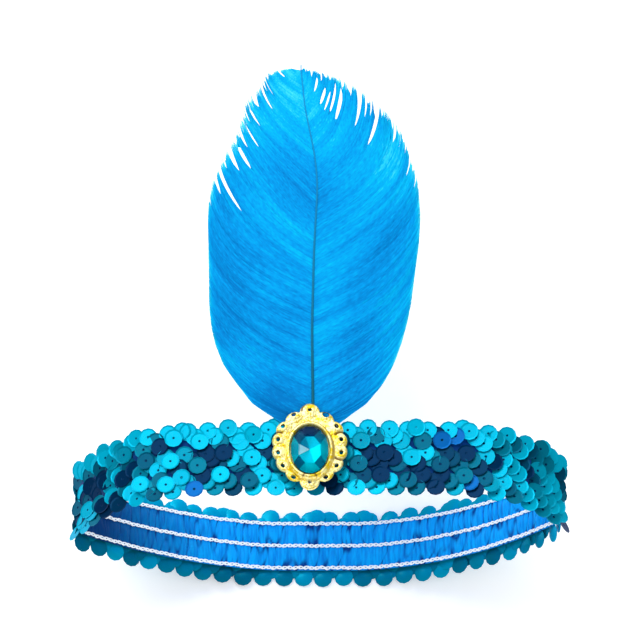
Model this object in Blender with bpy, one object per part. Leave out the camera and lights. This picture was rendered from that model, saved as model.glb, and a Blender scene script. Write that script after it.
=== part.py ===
"""Flapper headband: a loop of stretch elastic with three rows of sequins, a feather and a jewelled medallion.

The band lies on its back as it would on a table. The axis of the loop runs along Y, the back wall rests at
z = 0 with its lining up, and the front wall is on top with the feather pointing to +Y. The origin is on the
surface it rests on, under the middle of the band. Everything is in metres.
"""

import bmesh
import bpy
import numpy as np
from mathutils import Matrix, Vector

MM = 0.001
GAP = 0.3 * MM

# The loop, seen along its axis, on the middle of the elastic's thickness
LOOP_HALF_WIDTH = 97.0 * MM
LOOP_HEIGHT = 81.5 * MM
WIDEST_AT = 42.0 * MM
BACK_FULLNESS = 2.2
FRONT_FULLNESS = 5.5
END_LEAN = 0.055
FLATTENED_BY = 1.0 * MM
SMOOTHING = 6.0 * MM

# The elastic and the rows of sequins on it
ELASTIC_WIDTH = 22.0 * MM
ELASTIC_THICKNESS = 1.2 * MM
ELASTIC_STEPS = 90
ROW_SPACING = 9.7 * MM
SEQUINS_PER_ROW = 44
SEQUIN_ROWS = {"bottom": -1, "middle": 0, "top": 1}
ROW_OVERHANG = 6.6 * MM
SCALLOP_DEPTH = 1.5 * MM
CROWN_HEIGHT = 3.2 * MM
RIM_HEIGHT = 2.7 * MM
TUCKED_HEIGHT = 1.7 * MM
RESTING_HEIGHT = 2.2 * MM
MIDDLE_STAGGER = -0.35

# The medallion, in its own frame: x across the band, y towards the feather
MEDALLION_X = -3.7 * MM
MEDALLION_Y = 0.1 * MM
LOBES = 14
LOBE_RADIUS = 4.2 * MM
LOBE_OVAL = (10.9 * MM, 12.7 * MM)
END_LOBE_RADIUS = 4.0 * MM
END_LOBE_REACH = 14.9 * MM
LOBE_HOLE_RADIUS = 1.0 * MM
LOBE_HOLE_OVAL = (12.7 * MM, 15.8 * MM)
LOBES_ABOVE_BEZEL = 2.4 * MM
LOBE_SPREAD = 0.098
BEZEL_OUTSIDE = (9.6 * MM, 12.6 * MM)
BEZEL_INSIDE = (7.9 * MM, 10.8 * MM)
PLATE_THICKNESS = 1.5 * MM
LOBE_RELIEF = 1.1 * MM
BEZEL_HEIGHT = 4.2 * MM
BEZEL_INNER_DROP = 0.4 * MM
BEZEL_OUTER_DROP = 1.0 * MM
BEZEL_FOOT = 0.5 * MM
RIM_THICKNESS = 0.9 * MM
RIM_UNDERCUT = 0.2 * MM
CUTTER_LENGTH = 12.0 * MM
SEAT_HEIGHT = 0.8 * MM
STEPS_PER_LOBE = 6
PAD_OVAL = (8.5 * MM, 11.0 * MM)
PAD_THICKNESS = 2.5 * MM
PAD_SHIFT = -0.9 * MM

# The stone
GEM_HALF_SIZE = (7.6 * MM, 10.5 * MM)
GEM_TABLE_SHARE = 0.58
GEM_MIDDLE_SHARE = 0.84
GEM_MIDDLE_HEIGHT = 4.5 * MM
GEM_SIDES = 16
GEM_GIRDLE = (1.4 * MM, 2.6 * MM)
GEM_HEIGHT = 5.6 * MM
GEM_FOOT_SHARE = 0.72

# The feather, measured from the foot of its vane at the edge of the band
FEATHER_FOOT_X = -2.3 * MM
FEATHER_FOOT_Y = 13.8 * MM
FEATHER_LENGTH = 158.7 * MM
QUILL_TUCKED = 3.0 * MM
QUILL_FOOT_REACH = 0.9 * MM
QUILL_RADIUS = (0.95 * MM, 0.35 * MM)
VANE_THICKNESS = 0.55 * MM
BARB_RISE = 0.8
BARB_RISE_POWER = 0.75
BARB_CURL = 1.35
ROOT_SPACING_POWER = 1.25
LOCKS = 22
LOCK_NOTCH = (0.10, 0.22)
VANE_STEPS = 4
BOW_HEIGHT = 4.0 * MM
TIP_DROP = 5.0 * MM
VANE_CROWN = 6.0 * MM
VANE_HALF_WIDTH = 42.0 * MM

# Height up the vane, then the reach of its left and right sides, all in millimetres
VANE_OUTLINE = (
    (0.0, 10.0, 8.0),
    (8.0, 21.0, 18.0),
    (20.0, 30.5, 29.5),
    (40.0, 39.5, 36.5),
    (60.0, 41.0, 39.0),
    (80.0, 41.8, 41.4),
    (100.0, 41.5, 40.0),
    (115.0, 37.0, 38.0),
    (130.0, 29.0, 35.0),
    (142.0, 23.5, 29.5),
    (150.0, 19.0, 21.5),
    (156.0, 14.5, 12.0),
    (158.7, 5.0, 4.0),
)

# Height up the vane and the sideways drift of the quill, in millimetres
QUILL_DRIFT = (
    (0.0, 0.0),
    (40.0, -0.5),
    (75.0, 0.3),
    (105.0, 1.8),
    (120.0, 0.4),
    (140.0, -3.3),
    (158.7, -4.9),
)


def clear_scene():
    """Remove every object that the file opened with."""
    for thing in list(bpy.data.objects):
        bpy.data.objects.remove(thing, do_unlink=True)


def make_material(name, colour, roughness, metallic=0.0):
    """A Principled material of one colour."""
    material = bpy.data.materials.new(name)
    material.use_nodes = True
    shader = material.node_tree.nodes["Principled BSDF"]
    shader.inputs["Base Color"].default_value = (*colour, 1.0)
    shader.inputs["Roughness"].default_value = roughness
    shader.inputs["Metallic"].default_value = metallic
    material.diffuse_color = (*colour, 1.0)
    return material


def add_object(name, bm, material, smooth_angle=0.6):
    """Turn a finished bmesh into a named object."""
    mesh = bpy.data.meshes.new(name)
    bm.to_mesh(mesh)
    bm.free()
    mesh.shade_smooth()
    mesh.set_sharp_from_angle(angle=smooth_angle)
    mesh.materials.append(material)
    thing = bpy.data.objects.new(name, mesh)
    bpy.context.scene.collection.objects.link(thing)
    return thing


def shaped_grid(steps, across, place):
    """A grid of quads whose corner (i, j) goes to place(i, j), closed where its edges meet."""
    bm = bmesh.new()
    bmesh.ops.create_grid(bm, x_segments=steps, y_segments=across, size=1.0)
    for vert in bm.verts:
        i = round((vert.co.x + 1.0) / 2.0 * steps)
        j = round((vert.co.y + 1.0) / 2.0 * across)
        vert.co = place(i, j)
    bmesh.ops.remove_doubles(bm, verts=bm.verts, dist=0.001 * MM)
    bmesh.ops.recalc_face_normals(bm, faces=bm.faces)
    return bm


def smooth_ring(points, sigma, spacing):
    """A closed run of points blurred along itself by a Gaussian."""
    reach = int(3.0 * sigma / spacing) + 1
    offsets = np.arange(-reach, reach + 1)
    weights = np.exp(-0.5 * (offsets * spacing / sigma) ** 2)
    weights /= weights.sum()
    return sum(w * np.roll(points, -k, axis=0) for k, w in zip(offsets, weights))


def even_ring(points, count):
    """A closed run of points spaced evenly along itself, and its length."""
    closed = np.vstack([points, points[:1]])
    along = np.concatenate([[0.0], np.cumsum(np.hypot(*np.diff(closed, axis=0).T))])
    wanted = np.linspace(0.0, along[-1], count, endpoint=False)
    even = np.column_stack([np.interp(wanted, along, closed[:, k]) for k in (0, 1)])
    return even, along[-1]


class Loop:
    """The middle line of the elastic in the XZ plane, from the right end over the front to the left end."""

    SAMPLES = 1440

    def __init__(self):
        turn = np.linspace(0.0, 2.0 * np.pi, self.SAMPLES, endpoint=False)
        across = np.cos(turn)
        up = np.sin(turn)
        fullness = np.where(up > 0.0, FRONT_FULLNESS, BACK_FULLNESS)
        reach = np.where(up > 0.0, LOOP_HEIGHT - WIDEST_AT, WIDEST_AT + FLATTENED_BY)
        x = LOOP_HALF_WIDTH * np.sign(across) * np.abs(across) ** (2.0 / fullness)
        z = reach * np.sign(up) * up**2 + END_LEAN * x * (x / LOOP_HALF_WIDTH) ** 2
        z = np.maximum(z - z.min() - FLATTENED_BY, 0.0)
        even, length = even_ring(np.column_stack([x, z]), self.SAMPLES)
        rounded = smooth_ring(even, SMOOTHING / 2.0, length / self.SAMPLES)
        self.points, self.length = even_ring(rounded, self.SAMPLES)
        self.points[:, 1] = np.maximum(self.points[:, 1] - self.points[:, 1].min(), 0.0) + RESTING_HEIGHT
        ahead = np.roll(self.points, -3, axis=0) - np.roll(self.points, 3, axis=0)
        ahead /= np.hypot(*ahead.T)[:, None]
        self.outward = np.column_stack([ahead[:, 1], -ahead[:, 0]])
        print(f"loop: {self.length * 1000:.0f} mm round, {np.ptp(self.points[:, 0]) * 1000:.0f} mm wide")

    def at(self, share, y, height):
        """The point a share of the way round, at y across the band and so high off its middle line."""
        place = (share % 1.0) * self.SAMPLES
        low = int(place) % self.SAMPLES
        high = (low + 1) % self.SAMPLES
        mix = place - int(place)
        point = self.points[low] * (1.0 - mix) + self.points[high] * mix
        normal = self.outward[low] * (1.0 - mix) + self.outward[high] * mix
        x, z = point + normal * height
        return Vector((x, y, z))

    def share_where(self, x, front):
        """The share round the loop at which the front or the back wall passes x."""
        middle = self.points[:, 1].mean()
        wall = self.points[:, 1] > middle if front else self.points[:, 1] < middle
        distance = np.where(wall, np.abs(self.points[:, 0] - x), np.inf)
        return float(np.argmin(distance)) / self.SAMPLES


def build_elastic(loop, material):
    """The woven stretch band: a flat strip with four sides, closed on itself."""
    half = ELASTIC_THICKNESS / 2.0
    edge = ELASTIC_WIDTH / 2.0
    corners = ((-edge, -half), (edge, -half), (edge, half), (-edge, half))

    def place(i, j):
        y, height = corners[j % 4]
        return loop.at(i / ELASTIC_STEPS, y, height)

    return add_object("elastic_band", shaped_grid(ELASTIC_STEPS, 4, place), material)


# Share of one sequin's pitch, then how far its scallop has opened and how high it lies, each from 0 to 1
SEQUIN_STEPS = (
    (0.00, 0.00, 0.0),
    (0.10, 0.45, 1.0),
    (0.42, 1.00, 0.85),
    (0.76, 0.75, 0.5),
)


def build_sequin_row(loop, label, rank, material):
    """One string of overlapping sequins, fused: each scale rises over the next, scalloped at the outer edge."""
    steps = len(SEQUIN_STEPS)
    rest_share = loop.share_where(0.0, front=False)
    stagger = MIDDLE_STAGGER + 0.5 * abs(rank)
    inner = ELASTIC_THICKNESS / 2.0 + GAP
    border = (ROW_SPACING - GAP) / 2.0
    middle = rank * ROW_SPACING

    def place(i, j):
        scale, step = divmod(i, steps)
        share, opened, lift = SEQUIN_STEPS[step]
        along = rest_share + (scale + share + stagger) / SEQUINS_PER_ROW
        scallop = ROW_OVERHANG - SCALLOP_DEPTH * (1.0 - opened)
        low_y = middle - (scallop if rank < 0 else border)
        high_y = middle + (scallop if rank > 0 else border)
        crown = TUCKED_HEIGHT + (CROWN_HEIGHT - TUCKED_HEIGHT) * lift
        rim = TUCKED_HEIGHT + (RIM_HEIGHT - TUCKED_HEIGHT) * lift
        section = (
            (low_y, inner),
            (high_y, inner),
            (high_y, rim),
            (middle, crown),
            (low_y, rim),
        )
        y, height = section[j % 5]
        point = loop.at(along, y, height)
        point.z = max(point.z, 0.0)
        return point

    bm = shaped_grid(SEQUINS_PER_ROW * steps, 5, place)
    return add_object(f"sequin_row_{label}", bm, material)


def oval_reach(oval, angle):
    """Distance from the middle of an oval to its edge, in a direction."""
    return 1.0 / np.hypot(np.cos(angle) / oval[0], np.sin(angle) / oval[1])


def lobe_turns():
    """The directions of the lobes, counter-clockwise from the top one, wider apart at the two ends."""
    even = [2.0 * np.pi * k / LOBES for k in range(LOBES)]
    return [turn + LOBE_SPREAD * np.sin(2.0 * turn) + np.pi / 2.0 for turn in even]


def round_the_plate(oval, turn):
    """A point on an oval about the middle of the lobed plate, which lies above the bezel's."""
    return Vector((oval[0] * np.cos(turn), oval[1] * np.sin(turn) + LOBES_ABOVE_BEZEL, 0.0))


def lobes():
    """The middle and radius of each lobe: the top and bottom ones stand out."""
    for k, turn in enumerate(lobe_turns()):
        if k in (0, LOBES // 2):
            yield round_the_plate((END_LOBE_REACH, END_LOBE_REACH), turn), END_LOBE_RADIUS
        else:
            yield round_the_plate(LOBE_OVAL, turn), LOBE_RADIUS


def lobed_reach(angle):
    """Distance from the middle of the bezel to the plate's scalloped edge, in a direction."""
    ray = Vector((np.cos(angle), np.sin(angle), 0.0))
    reaches = [oval_reach(BEZEL_OUTSIDE, angle) + BEZEL_FOOT]
    for middle, radius in lobes():
        ahead = middle.dot(ray)
        aside = (middle - ray * ahead).length
        if ahead > 0.0 and aside < radius:
            reaches.append(ahead + np.sqrt(radius**2 - aside**2))
    return max(reaches)


def hidden_cutter(name, bm):
    """An object that only cuts."""
    mesh = bpy.data.meshes.new(name)
    bm.to_mesh(mesh)
    bm.free()
    cutter = bpy.data.objects.new(name, mesh)
    bpy.context.scene.collection.objects.link(cutter)
    cutter.hide_render = True
    cutter.display_type = "WIRE"
    return cutter


def build_frame(seat, material):
    """The cast gold frame: a scalloped plate with a hole in each lobe, and a raised bezel with a floor."""
    steps = LOBES * STEPS_PER_LOBE
    holes_at = [round_the_plate(LOBE_HOLE_OVAL, turn) for turn in lobe_turns()]

    def place(i, j):
        angle = 2.0 * np.pi * (i % steps) / steps + np.pi / 2.0
        edge = lobed_reach(angle)
        outside = oval_reach(BEZEL_OUTSIDE, angle)
        inside = oval_reach(BEZEL_INSIDE, angle)
        halfway = (outside + BEZEL_FOOT + edge) / 2.0
        here = Vector((halfway * np.cos(angle), halfway * np.sin(angle), 0.0))
        swell = max(0.0, 1.0 - min((hole - here).length for hole in holes_at) / LOBE_RADIUS)
        profile = (
            (0.0, SEAT_HEIGHT),
            (inside, SEAT_HEIGHT),
            (inside, BEZEL_HEIGHT - BEZEL_INNER_DROP),
            ((inside + outside) / 2.0, BEZEL_HEIGHT),
            (outside, BEZEL_HEIGHT - BEZEL_OUTER_DROP),
            (outside + BEZEL_FOOT, PLATE_THICKNESS),
            (halfway, PLATE_THICKNESS + LOBE_RELIEF * swell),
            (edge, RIM_THICKNESS),
            (edge - RIM_UNDERCUT, 0.0),
            (0.0, 0.0),
        )
        reach, height = profile[j]
        return Vector((reach * np.cos(angle), reach * np.sin(angle), height))

    frame = add_object("medallion_frame", shaped_grid(steps, 9, place), material)
    holes = bmesh.new()
    for middle in holes_at:
        bmesh.ops.create_cone(
            holes,
            cap_ends=True,
            segments=8,
            radius1=LOBE_HOLE_RADIUS,
            radius2=LOBE_HOLE_RADIUS,
            depth=CUTTER_LENGTH,
            matrix=Matrix.Translation(middle),
        )
    cut = frame.modifiers.new("lobe holes", "BOOLEAN")
    cut.object = hidden_cutter("lobe_hole_cutters", holes)
    cut.object.matrix_world = seat
    cut.operation = "DIFFERENCE"
    frame.matrix_world = seat
    return frame


def build_gem(seat, material):
    """The faceted oval stone: a flat table, two rows of crown facets, a girdle and a tapered foot."""
    bm = bmesh.new()
    # Share of the stone's size, height, and the turn of its corners as a share of a facet
    levels = (
        (GEM_FOOT_SHARE, 0.0, 0.0),
        (1.0, GEM_GIRDLE[0], 0.5),
        (1.0, GEM_GIRDLE[1], 0.5),
        (GEM_MIDDLE_SHARE, GEM_MIDDLE_HEIGHT, 0.0),
        (GEM_TABLE_SHARE, GEM_HEIGHT, 0.5),
    )
    for share, height, turned in levels:
        for k in range(GEM_SIDES):
            angle = 2.0 * np.pi * (k + turned) / GEM_SIDES
            x = share * GEM_HALF_SIZE[0] * np.cos(angle)
            y = share * GEM_HALF_SIZE[1] * np.sin(angle)
            bm.verts.new((x, y, height))
    bmesh.ops.convex_hull(bm, input=bm.verts)
    bmesh.ops.recalc_face_normals(bm, faces=bm.faces)
    gem = add_object("gem_stone", bm, material, smooth_angle=0.02)
    gem.matrix_world = seat @ Matrix.Translation((0.0, 0.0, SEAT_HEIGHT + GAP))
    return gem


def build_pad(seat, material):
    """The plain oval pad under the frame, which stops short of the foot of the quill."""
    bm = bmesh.new()
    bmesh.ops.create_cone(
        bm, cap_ends=True, segments=28, radius1=1.0, radius2=1.0, depth=PAD_THICKNESS
    )
    bmesh.ops.scale(bm, vec=(*PAD_OVAL, 1.0), verts=bm.verts)
    bmesh.ops.translate(bm, vec=(0.0, PAD_SHIFT, -PAD_THICKNESS / 2.0 - GAP), verts=bm.verts)
    pad = add_object("glue_pad", bm, material)
    pad.matrix_world = seat
    return pad


def feather_height(along):
    """How high the quill's middle lies over its foot, at a distance up the feather."""
    share = along / FEATHER_LENGTH
    return BOW_HEIGHT * np.sin(np.pi * share) - TIP_DROP * share**2


def outline_reach(along, side):
    """How far the vane reaches to one side, at a height up the feather."""
    heights, left, right = np.array(VANE_OUTLINE).T * MM
    return np.interp(along, heights, left if side < 0 else right)


def quill_at(along):
    """A point on the quill."""
    heights, drift = np.array(QUILL_DRIFT).T * MM
    return Vector((np.interp(along, heights, drift), along, feather_height(along)))


def barb_point(root, side, share, notch):
    """A point on one barb, a share of the way from the quill to the edge of the vane."""
    up = root / FEATHER_LENGTH
    tip = root + BARB_RISE * FEATHER_LENGTH * up**BARB_RISE_POWER * (1.0 - up)
    reach = outline_reach(tip, side) * (1.0 - notch)
    along = root + (tip - root) * share**BARB_CURL
    drift = quill_at(root).lerp(quill_at(tip), share).x
    sag = VANE_CROWN * (reach * share / VANE_HALF_WIDTH) ** 2
    return Vector((drift + side * reach * share, along, feather_height(along) - sag))


def build_feather(foot, material):
    """The plume: locks of barbs swept up from the quill and notched at their tips, in one with the quill."""
    rows = 2 * LOCKS + 1
    across = 2 * VANE_STEPS

    def place(i, j):
        column = j % (2 * across)
        top = column <= across
        step = column - VANE_STEPS if top else 2 * across - column - VANE_STEPS
        side = 1 if step >= 0 else -1
        share = abs(step) / VANE_STEPS
        up = (max(i - 1, 0) / (rows - 1)) ** ROOT_SPACING_POWER
        if i == 0:
            point = Vector((side * share * QUILL_FOOT_REACH, -QUILL_TUCKED, 0.0))
        else:
            notch = 0.0 if i % 2 else np.interp(up, (0.0, 1.0), LOCK_NOTCH)
            point = barb_point(FEATHER_LENGTH * up, side, share, notch)
        half = np.interp(up, (0.0, 1.0), QUILL_RADIUS) if step == 0 else VANE_THICKNESS / 2.0
        if abs(step) < VANE_STEPS:
            point.z += half if top else -half
        return point

    bm = shaped_grid(rows, 2 * across, place)
    rims = [edge for edge in bm.edges if edge.is_boundary]
    bmesh.ops.holes_fill(bm, edges=rims, sides=0)
    bmesh.ops.recalc_face_normals(bm, faces=bm.faces)
    feather = add_object("feather", bm, material)
    feather.matrix_world = Matrix.Translation(foot)
    return feather


def main():
    clear_scene()
    loop = Loop()
    elastic = make_material("stretch elastic", (0.01, 0.22, 0.80), 0.75)
    sequin = make_material("sequin film", (0.0, 0.35, 0.50), 0.2, 0.6)
    plume = make_material("dyed ostrich", (0.0, 0.33, 0.85), 0.8)
    gold = make_material("gold plating", (0.95, 0.65, 0.12), 0.25, 1.0)
    acrylic = make_material("aqua acrylic", (0.02, 0.45, 0.60), 0.05)
    felt = make_material("blue felt", (0.01, 0.20, 0.50), 0.9)

    build_elastic(loop, elastic)
    for label, rank in SEQUIN_ROWS.items():
        build_sequin_row(loop, label, rank, sequin)

    front = loop.share_where(MEDALLION_X, front=True)
    crown = loop.at(front, MEDALLION_Y, CROWN_HEIGHT + GAP)
    seat = Matrix.Translation((MEDALLION_X, MEDALLION_Y, crown.z + PAD_THICKNESS + GAP))
    build_pad(seat, felt)
    build_frame(seat, gold)
    build_gem(seat, acrylic)
    foot = (FEATHER_FOOT_X, FEATHER_FOOT_Y, crown.z + QUILL_RADIUS[0])
    build_feather(foot, plume)


main()
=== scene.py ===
# %% [markdown]
# # Dressing a flapper headband
#
# The real thing is a closed band of shirred elastic, about 45 cm round, with three rows of cup
# sequins chain-stitched to its outside. A dyed ostrich plume and a gilt setting with an aqua stone
# stand on its front. It lies on its back here, so the plume points away from the camera, up the picture.
#
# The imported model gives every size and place. This script loads it as a fixed frame and gives each
# solid its real surface: most solids are replaced by a detailed piece of the same size, and the pad
# keeps its mesh and gets felt. All lengths are in metres, so a millimetre is written as 1.0 * MM.

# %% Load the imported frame
import math
from random import Random

import bmesh
import bpy
import numpy as np
from mathutils import Matrix, Vector, noise


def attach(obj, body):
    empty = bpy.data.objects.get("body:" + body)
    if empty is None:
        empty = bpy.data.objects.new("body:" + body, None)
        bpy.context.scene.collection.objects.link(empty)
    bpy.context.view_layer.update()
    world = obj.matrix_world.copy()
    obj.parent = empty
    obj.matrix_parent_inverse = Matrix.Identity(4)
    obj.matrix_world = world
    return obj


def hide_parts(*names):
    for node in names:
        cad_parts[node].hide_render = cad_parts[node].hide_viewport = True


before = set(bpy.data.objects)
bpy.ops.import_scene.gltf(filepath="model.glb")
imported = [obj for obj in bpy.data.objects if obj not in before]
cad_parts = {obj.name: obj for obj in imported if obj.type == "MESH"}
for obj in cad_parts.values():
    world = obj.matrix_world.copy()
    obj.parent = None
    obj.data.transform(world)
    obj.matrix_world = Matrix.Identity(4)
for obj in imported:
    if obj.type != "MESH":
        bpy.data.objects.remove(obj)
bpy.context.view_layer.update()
MM = 0.001
print("nodes:", ", ".join(sorted(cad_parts)))

# %% [markdown]
# ## Camera, floor and light
#
# A product photograph of this kind is taken from high up with a long lens on white paper. The camera
# looks down at 64.5 degrees from eight metres away, so near and far parts keep the same scale. A sun
# lamp with a large angle acts like a wide softbox whose strength does not change over the floor. The
# sky light is bright for soft surfaces and dim in mirrors, as in a white studio with the room behind
# it left dark, because sequins and gilt need something dark to reflect.

# %% Camera
VIEW_WIDTH = 250.8 * MM
CAMERA_DISTANCE = 8.0
CAMERA_ELEVATION = math.radians(64.5)
CAMERA_TARGET = Vector((-2.2 * MM, 85.2 * MM, 40.0 * MM))

scene = bpy.context.scene
camera_data = bpy.data.cameras.new("product_camera")
camera_data.sensor_width = 36.0
camera_data.lens = camera_data.sensor_width * CAMERA_DISTANCE / VIEW_WIDTH
camera_data.clip_end = 100.0
camera = bpy.data.objects.new("product_camera", camera_data)
scene.collection.objects.link(camera)
back = Vector((0.0, -math.cos(CAMERA_ELEVATION), math.sin(CAMERA_ELEVATION)))
camera.location = CAMERA_TARGET + back * CAMERA_DISTANCE
camera.rotation_euler = (math.pi / 2.0 - CAMERA_ELEVATION, 0.0, 0.0)
scene.camera = camera
print(f"lens: {camera_data.lens:.0f} mm")

# %% Softboxes
# Each softbox: where it stands as seen from the band, its strength, how wide it looks in degrees, and
# whether it shows in mirrors
SOFTBOXES = {
    "key_left": ((-0.35, 0.43, 0.83), 1.5, 50.0, True),
    "back_rim": ((0.12, 0.82, 0.57), 0.6, 45.0, True),
    "front_fill": ((0.25, -0.75, 0.60), 0.8, 90.0, False),
}
for name, (direction, strength, width, in_mirrors) in SOFTBOXES.items():
    lamp = bpy.data.lights.new(name, "SUN")
    lamp.energy = strength
    lamp.angle = math.radians(width)
    softbox = bpy.data.objects.new(name, lamp)
    softbox.rotation_euler = Vector(direction).to_track_quat("Z", "Y").to_euler()
    softbox.visible_glossy = in_mirrors
    scene.collection.objects.link(softbox)
print("softboxes:", ", ".join(SOFTBOXES))

# %% [markdown]
# ## Colours and nodes
#
# Colours are picked as sRGB hex, as a colour picker shows them, and one function turns them to the
# linear values that the renderer mixes. One function adds a node, whatever its kind: it sets what is
# given by name, and fills or links the inputs. Most finishes here blend from one colour to the next as a
# tone rises, so a second function chains such blends.


# %% Colour and node helpers
MIX_FIRST = 6
MIX_SECOND = 7
MIX_RESULT = 2


def linear(hex_colour):
    """An sRGB hex colour as the linear values that Blender mixes."""
    channels = [int(hex_colour[k : k + 2], 16) / 255.0 for k in (1, 3, 5)]
    return (*(c / 12.92 if c <= 0.04045 else ((c + 0.055) / 1.055) ** 2.4 for c in channels), 1.0)


def add_node(tree, kind, inputs=(), **settings):
    """One more node: its settings by name, and its inputs as values or as the outputs that feed them."""
    node = tree.nodes.new(f"ShaderNode{kind}")
    for name, value in settings.items():
        setattr(node, name, value)
    for socket, value in dict(inputs).items():
        if isinstance(value, bpy.types.NodeSocket):
            tree.links.new(value, node.inputs[socket])
        else:
            node.inputs[socket].default_value = value
    return node


def new_material(name, **values):
    """A Principled material with these values, or hex colours, on the shader's own sockets."""
    material = bpy.data.materials.new(name)
    material.use_nodes = True
    tree = material.node_tree
    shader = tree.nodes["Principled BSDF"]
    for socket, value in values.items():
        socket = shader.inputs[socket.replace("_", " ")]
        socket.default_value = linear(value) if isinstance(value, str) else value
    return material, tree, shader


def colour_by_tone(tree, tone, first, *steps):
    """The first colour, turned to each step's colour as the tone runs from its low to its high value."""
    colour = first if isinstance(first, bpy.types.NodeSocket) else linear(first)
    for low, high, hex_colour in steps:
        share = add_node(tree, "MapRange", {"Value": tone, "From Min": low, "From Max": high})
        blend = {0: share.outputs[0], MIX_FIRST: colour, MIX_SECOND: linear(hex_colour)}
        colour = add_node(tree, "Mix", blend, data_type="RGBA").outputs[MIX_RESULT]
    return colour


# %% Sky light
SKY_STRENGTH = 0.75
MIRRORED_SKY_STRENGTH = 0.30

studio = bpy.data.worlds.new("studio")
studio.use_nodes = True
sky = studio.node_tree
ray = add_node(sky, "LightPath")
bright = add_node(sky, "Background", {"Color": linear("#FFFFFF"), "Strength": SKY_STRENGTH})
dim = add_node(sky, "Background", {"Color": linear("#FFFFFF"), "Strength": MIRRORED_SKY_STRENGTH})
seen = add_node(sky, "MixShader", {0: ray.outputs["Is Glossy Ray"], 1: bright.outputs[0], 2: dim.outputs[0]})
sky.links.new(seen.outputs[0], sky.nodes["World Output"].inputs["Surface"])
scene.world = studio
scene.view_settings.view_transform = "Standard"
scene.view_settings.look = "None"
print(f"sky: {SKY_STRENGTH} on surfaces, {MIRRORED_SKY_STRENGTH} in mirrors")

# %% [markdown]
# ## Making pieces
#
# A grid is the simplest thing to bend: a bmesh operator makes it flat, and a function then says where
# each of its corners goes. Where two of its edges meet, their corners are merged, so a strip closes
# to a ring. The finished piece rides on the one body of the model and stands for its solid.


# %% Piece helpers
def shaped_grid(steps, across, place, tone_at=None):
    """A grid of quads whose corner (i, j) goes to place(i, j), closed where its edges meet.

    Its UV map runs from 0 to 1 both ways, so a pattern can follow the strip. Where tone_at is given,
    it gives each corner's tone for the material."""
    bm = bmesh.new()
    bm.loops.layers.uv.new("strip")
    tone = bm.verts.layers.float.new("tone")
    bmesh.ops.create_grid(bm, x_segments=steps, y_segments=across, size=1.0, calc_uvs=True)
    for vert in bm.verts:
        i = round((vert.co.x + 1.0) / 2.0 * steps)
        j = round((vert.co.y + 1.0) / 2.0 * across)
        vert.co = place(i, j)
        vert[tone] = tone_at(i, j) if tone_at else 0.0
    bmesh.ops.remove_doubles(bm, verts=bm.verts, dist=0.001 * MM)
    bmesh.ops.recalc_face_normals(bm, faces=bm.faces)
    return bm


def add_piece(name, bm, material, stands_for=(), sharp_over=40.0):
    """Turn a finished bmesh into a named piece that rides on the model."""
    mesh = bpy.data.meshes.new(name)
    bm.to_mesh(mesh)
    bm.free()
    mesh.shade_smooth()
    mesh.set_sharp_from_angle(angle=math.radians(sharp_over))
    mesh.materials.append(material)
    piece = bpy.data.objects.new(name, mesh)
    scene.collection.objects.link(piece)
    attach(piece, "root")
    if stands_for:
        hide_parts(*stands_for)
    mesh.calc_loop_triangles()
    print(f"{name}: {len(mesh.loop_triangles)} triangles")
    return piece


def repeat(bm, template, places, tones, pit_shade_within=0.0):
    """Add a copy of a small mesh at each place, with its tone on its corners, painted dark round its middle
    as shade.
    """
    tone = bm.verts.layers.float.get("tone") or bm.verts.layers.float.new("tone")
    for place, value in zip(places, tones):
        before = len(bm.verts)
        bm.from_mesh(template)
        bm.verts.ensure_lookup_table()
        for vert in bm.verts[before:]:
            vert[tone] = value if vert.co.length > pit_shade_within else -1.0
            vert.co = place @ vert.co


def as_mesh(name, bm):
    """Keep a template as a mesh, with no object."""
    mesh = bpy.data.meshes.new(name)
    bm.to_mesh(mesh)
    bm.free()
    return mesh


# %% [markdown]
# ## The white floor
#
# The floor is a sheet of opal acrylic with a little light from below, as on a photographer's light
# table, which is how such pictures get a pure white ground with hardly a shadow. The floor is part of
# the stage and not of the headband.

# %% Floor
FLOOR_HALF_SIZE = 20.0
LIGHT_FROM_BELOW = 0.24

opal, tree, shader = new_material(
    "opal_acrylic_light_table",
    Base_Color="#F7F6F7",
    Roughness=0.9,
    Specular_IOR_Level=0.2,
    Emission_Color="#FFFFFF",
    Emission_Strength=LIGHT_FROM_BELOW,
)
bm = bmesh.new()
bmesh.ops.create_grid(bm, x_segments=1, y_segments=1, size=FLOOR_HALF_SIZE)
floor_mesh = as_mesh("light_table", bm)
floor_mesh.materials.append(opal)
floor = bpy.data.objects.new("light_table", floor_mesh)
scene.collection.objects.link(floor)
print(f"floor: {2.0 * FLOOR_HALF_SIZE:.0f} m wide")

# %% [markdown]
# ## The line that the band follows
#
# Every part of the band is placed by three numbers: a share of the way round the loop, a place across
# the band's width (Y), and a height off its middle line. A closed elastic band that lies flat takes the
# shape of a lens: its front rises steeply from two nearly pointed ends and then runs almost level. The
# formula gives that lens, which is then made even and slightly blurred, as stiff cloth rounds a fold.
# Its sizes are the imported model's own.

# %% Loop
LOOP_HALF_WIDTH = 97.0 * MM
LOOP_HEIGHT = 81.5 * MM
WIDEST_AT = 42.0 * MM
BACK_FULLNESS = 2.2
FRONT_FULLNESS = 5.5
END_LEAN = 0.055
FLATTENED_BY = 1.0 * MM
SMOOTHING = 6.0 * MM
RESTING_HEIGHT = 2.2 * MM
LOOP_SAMPLES = 1440


def even_ring(points):
    """A closed run of points spaced evenly along itself, and its length."""
    closed = np.vstack([points, points[:1]])
    along = np.concatenate([[0.0], np.cumsum(np.hypot(*np.diff(closed, axis=0).T))])
    wanted = np.linspace(0.0, along[-1], LOOP_SAMPLES, endpoint=False)
    return np.column_stack([np.interp(wanted, along, closed[:, k]) for k in (0, 1)]), along[-1]


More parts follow.
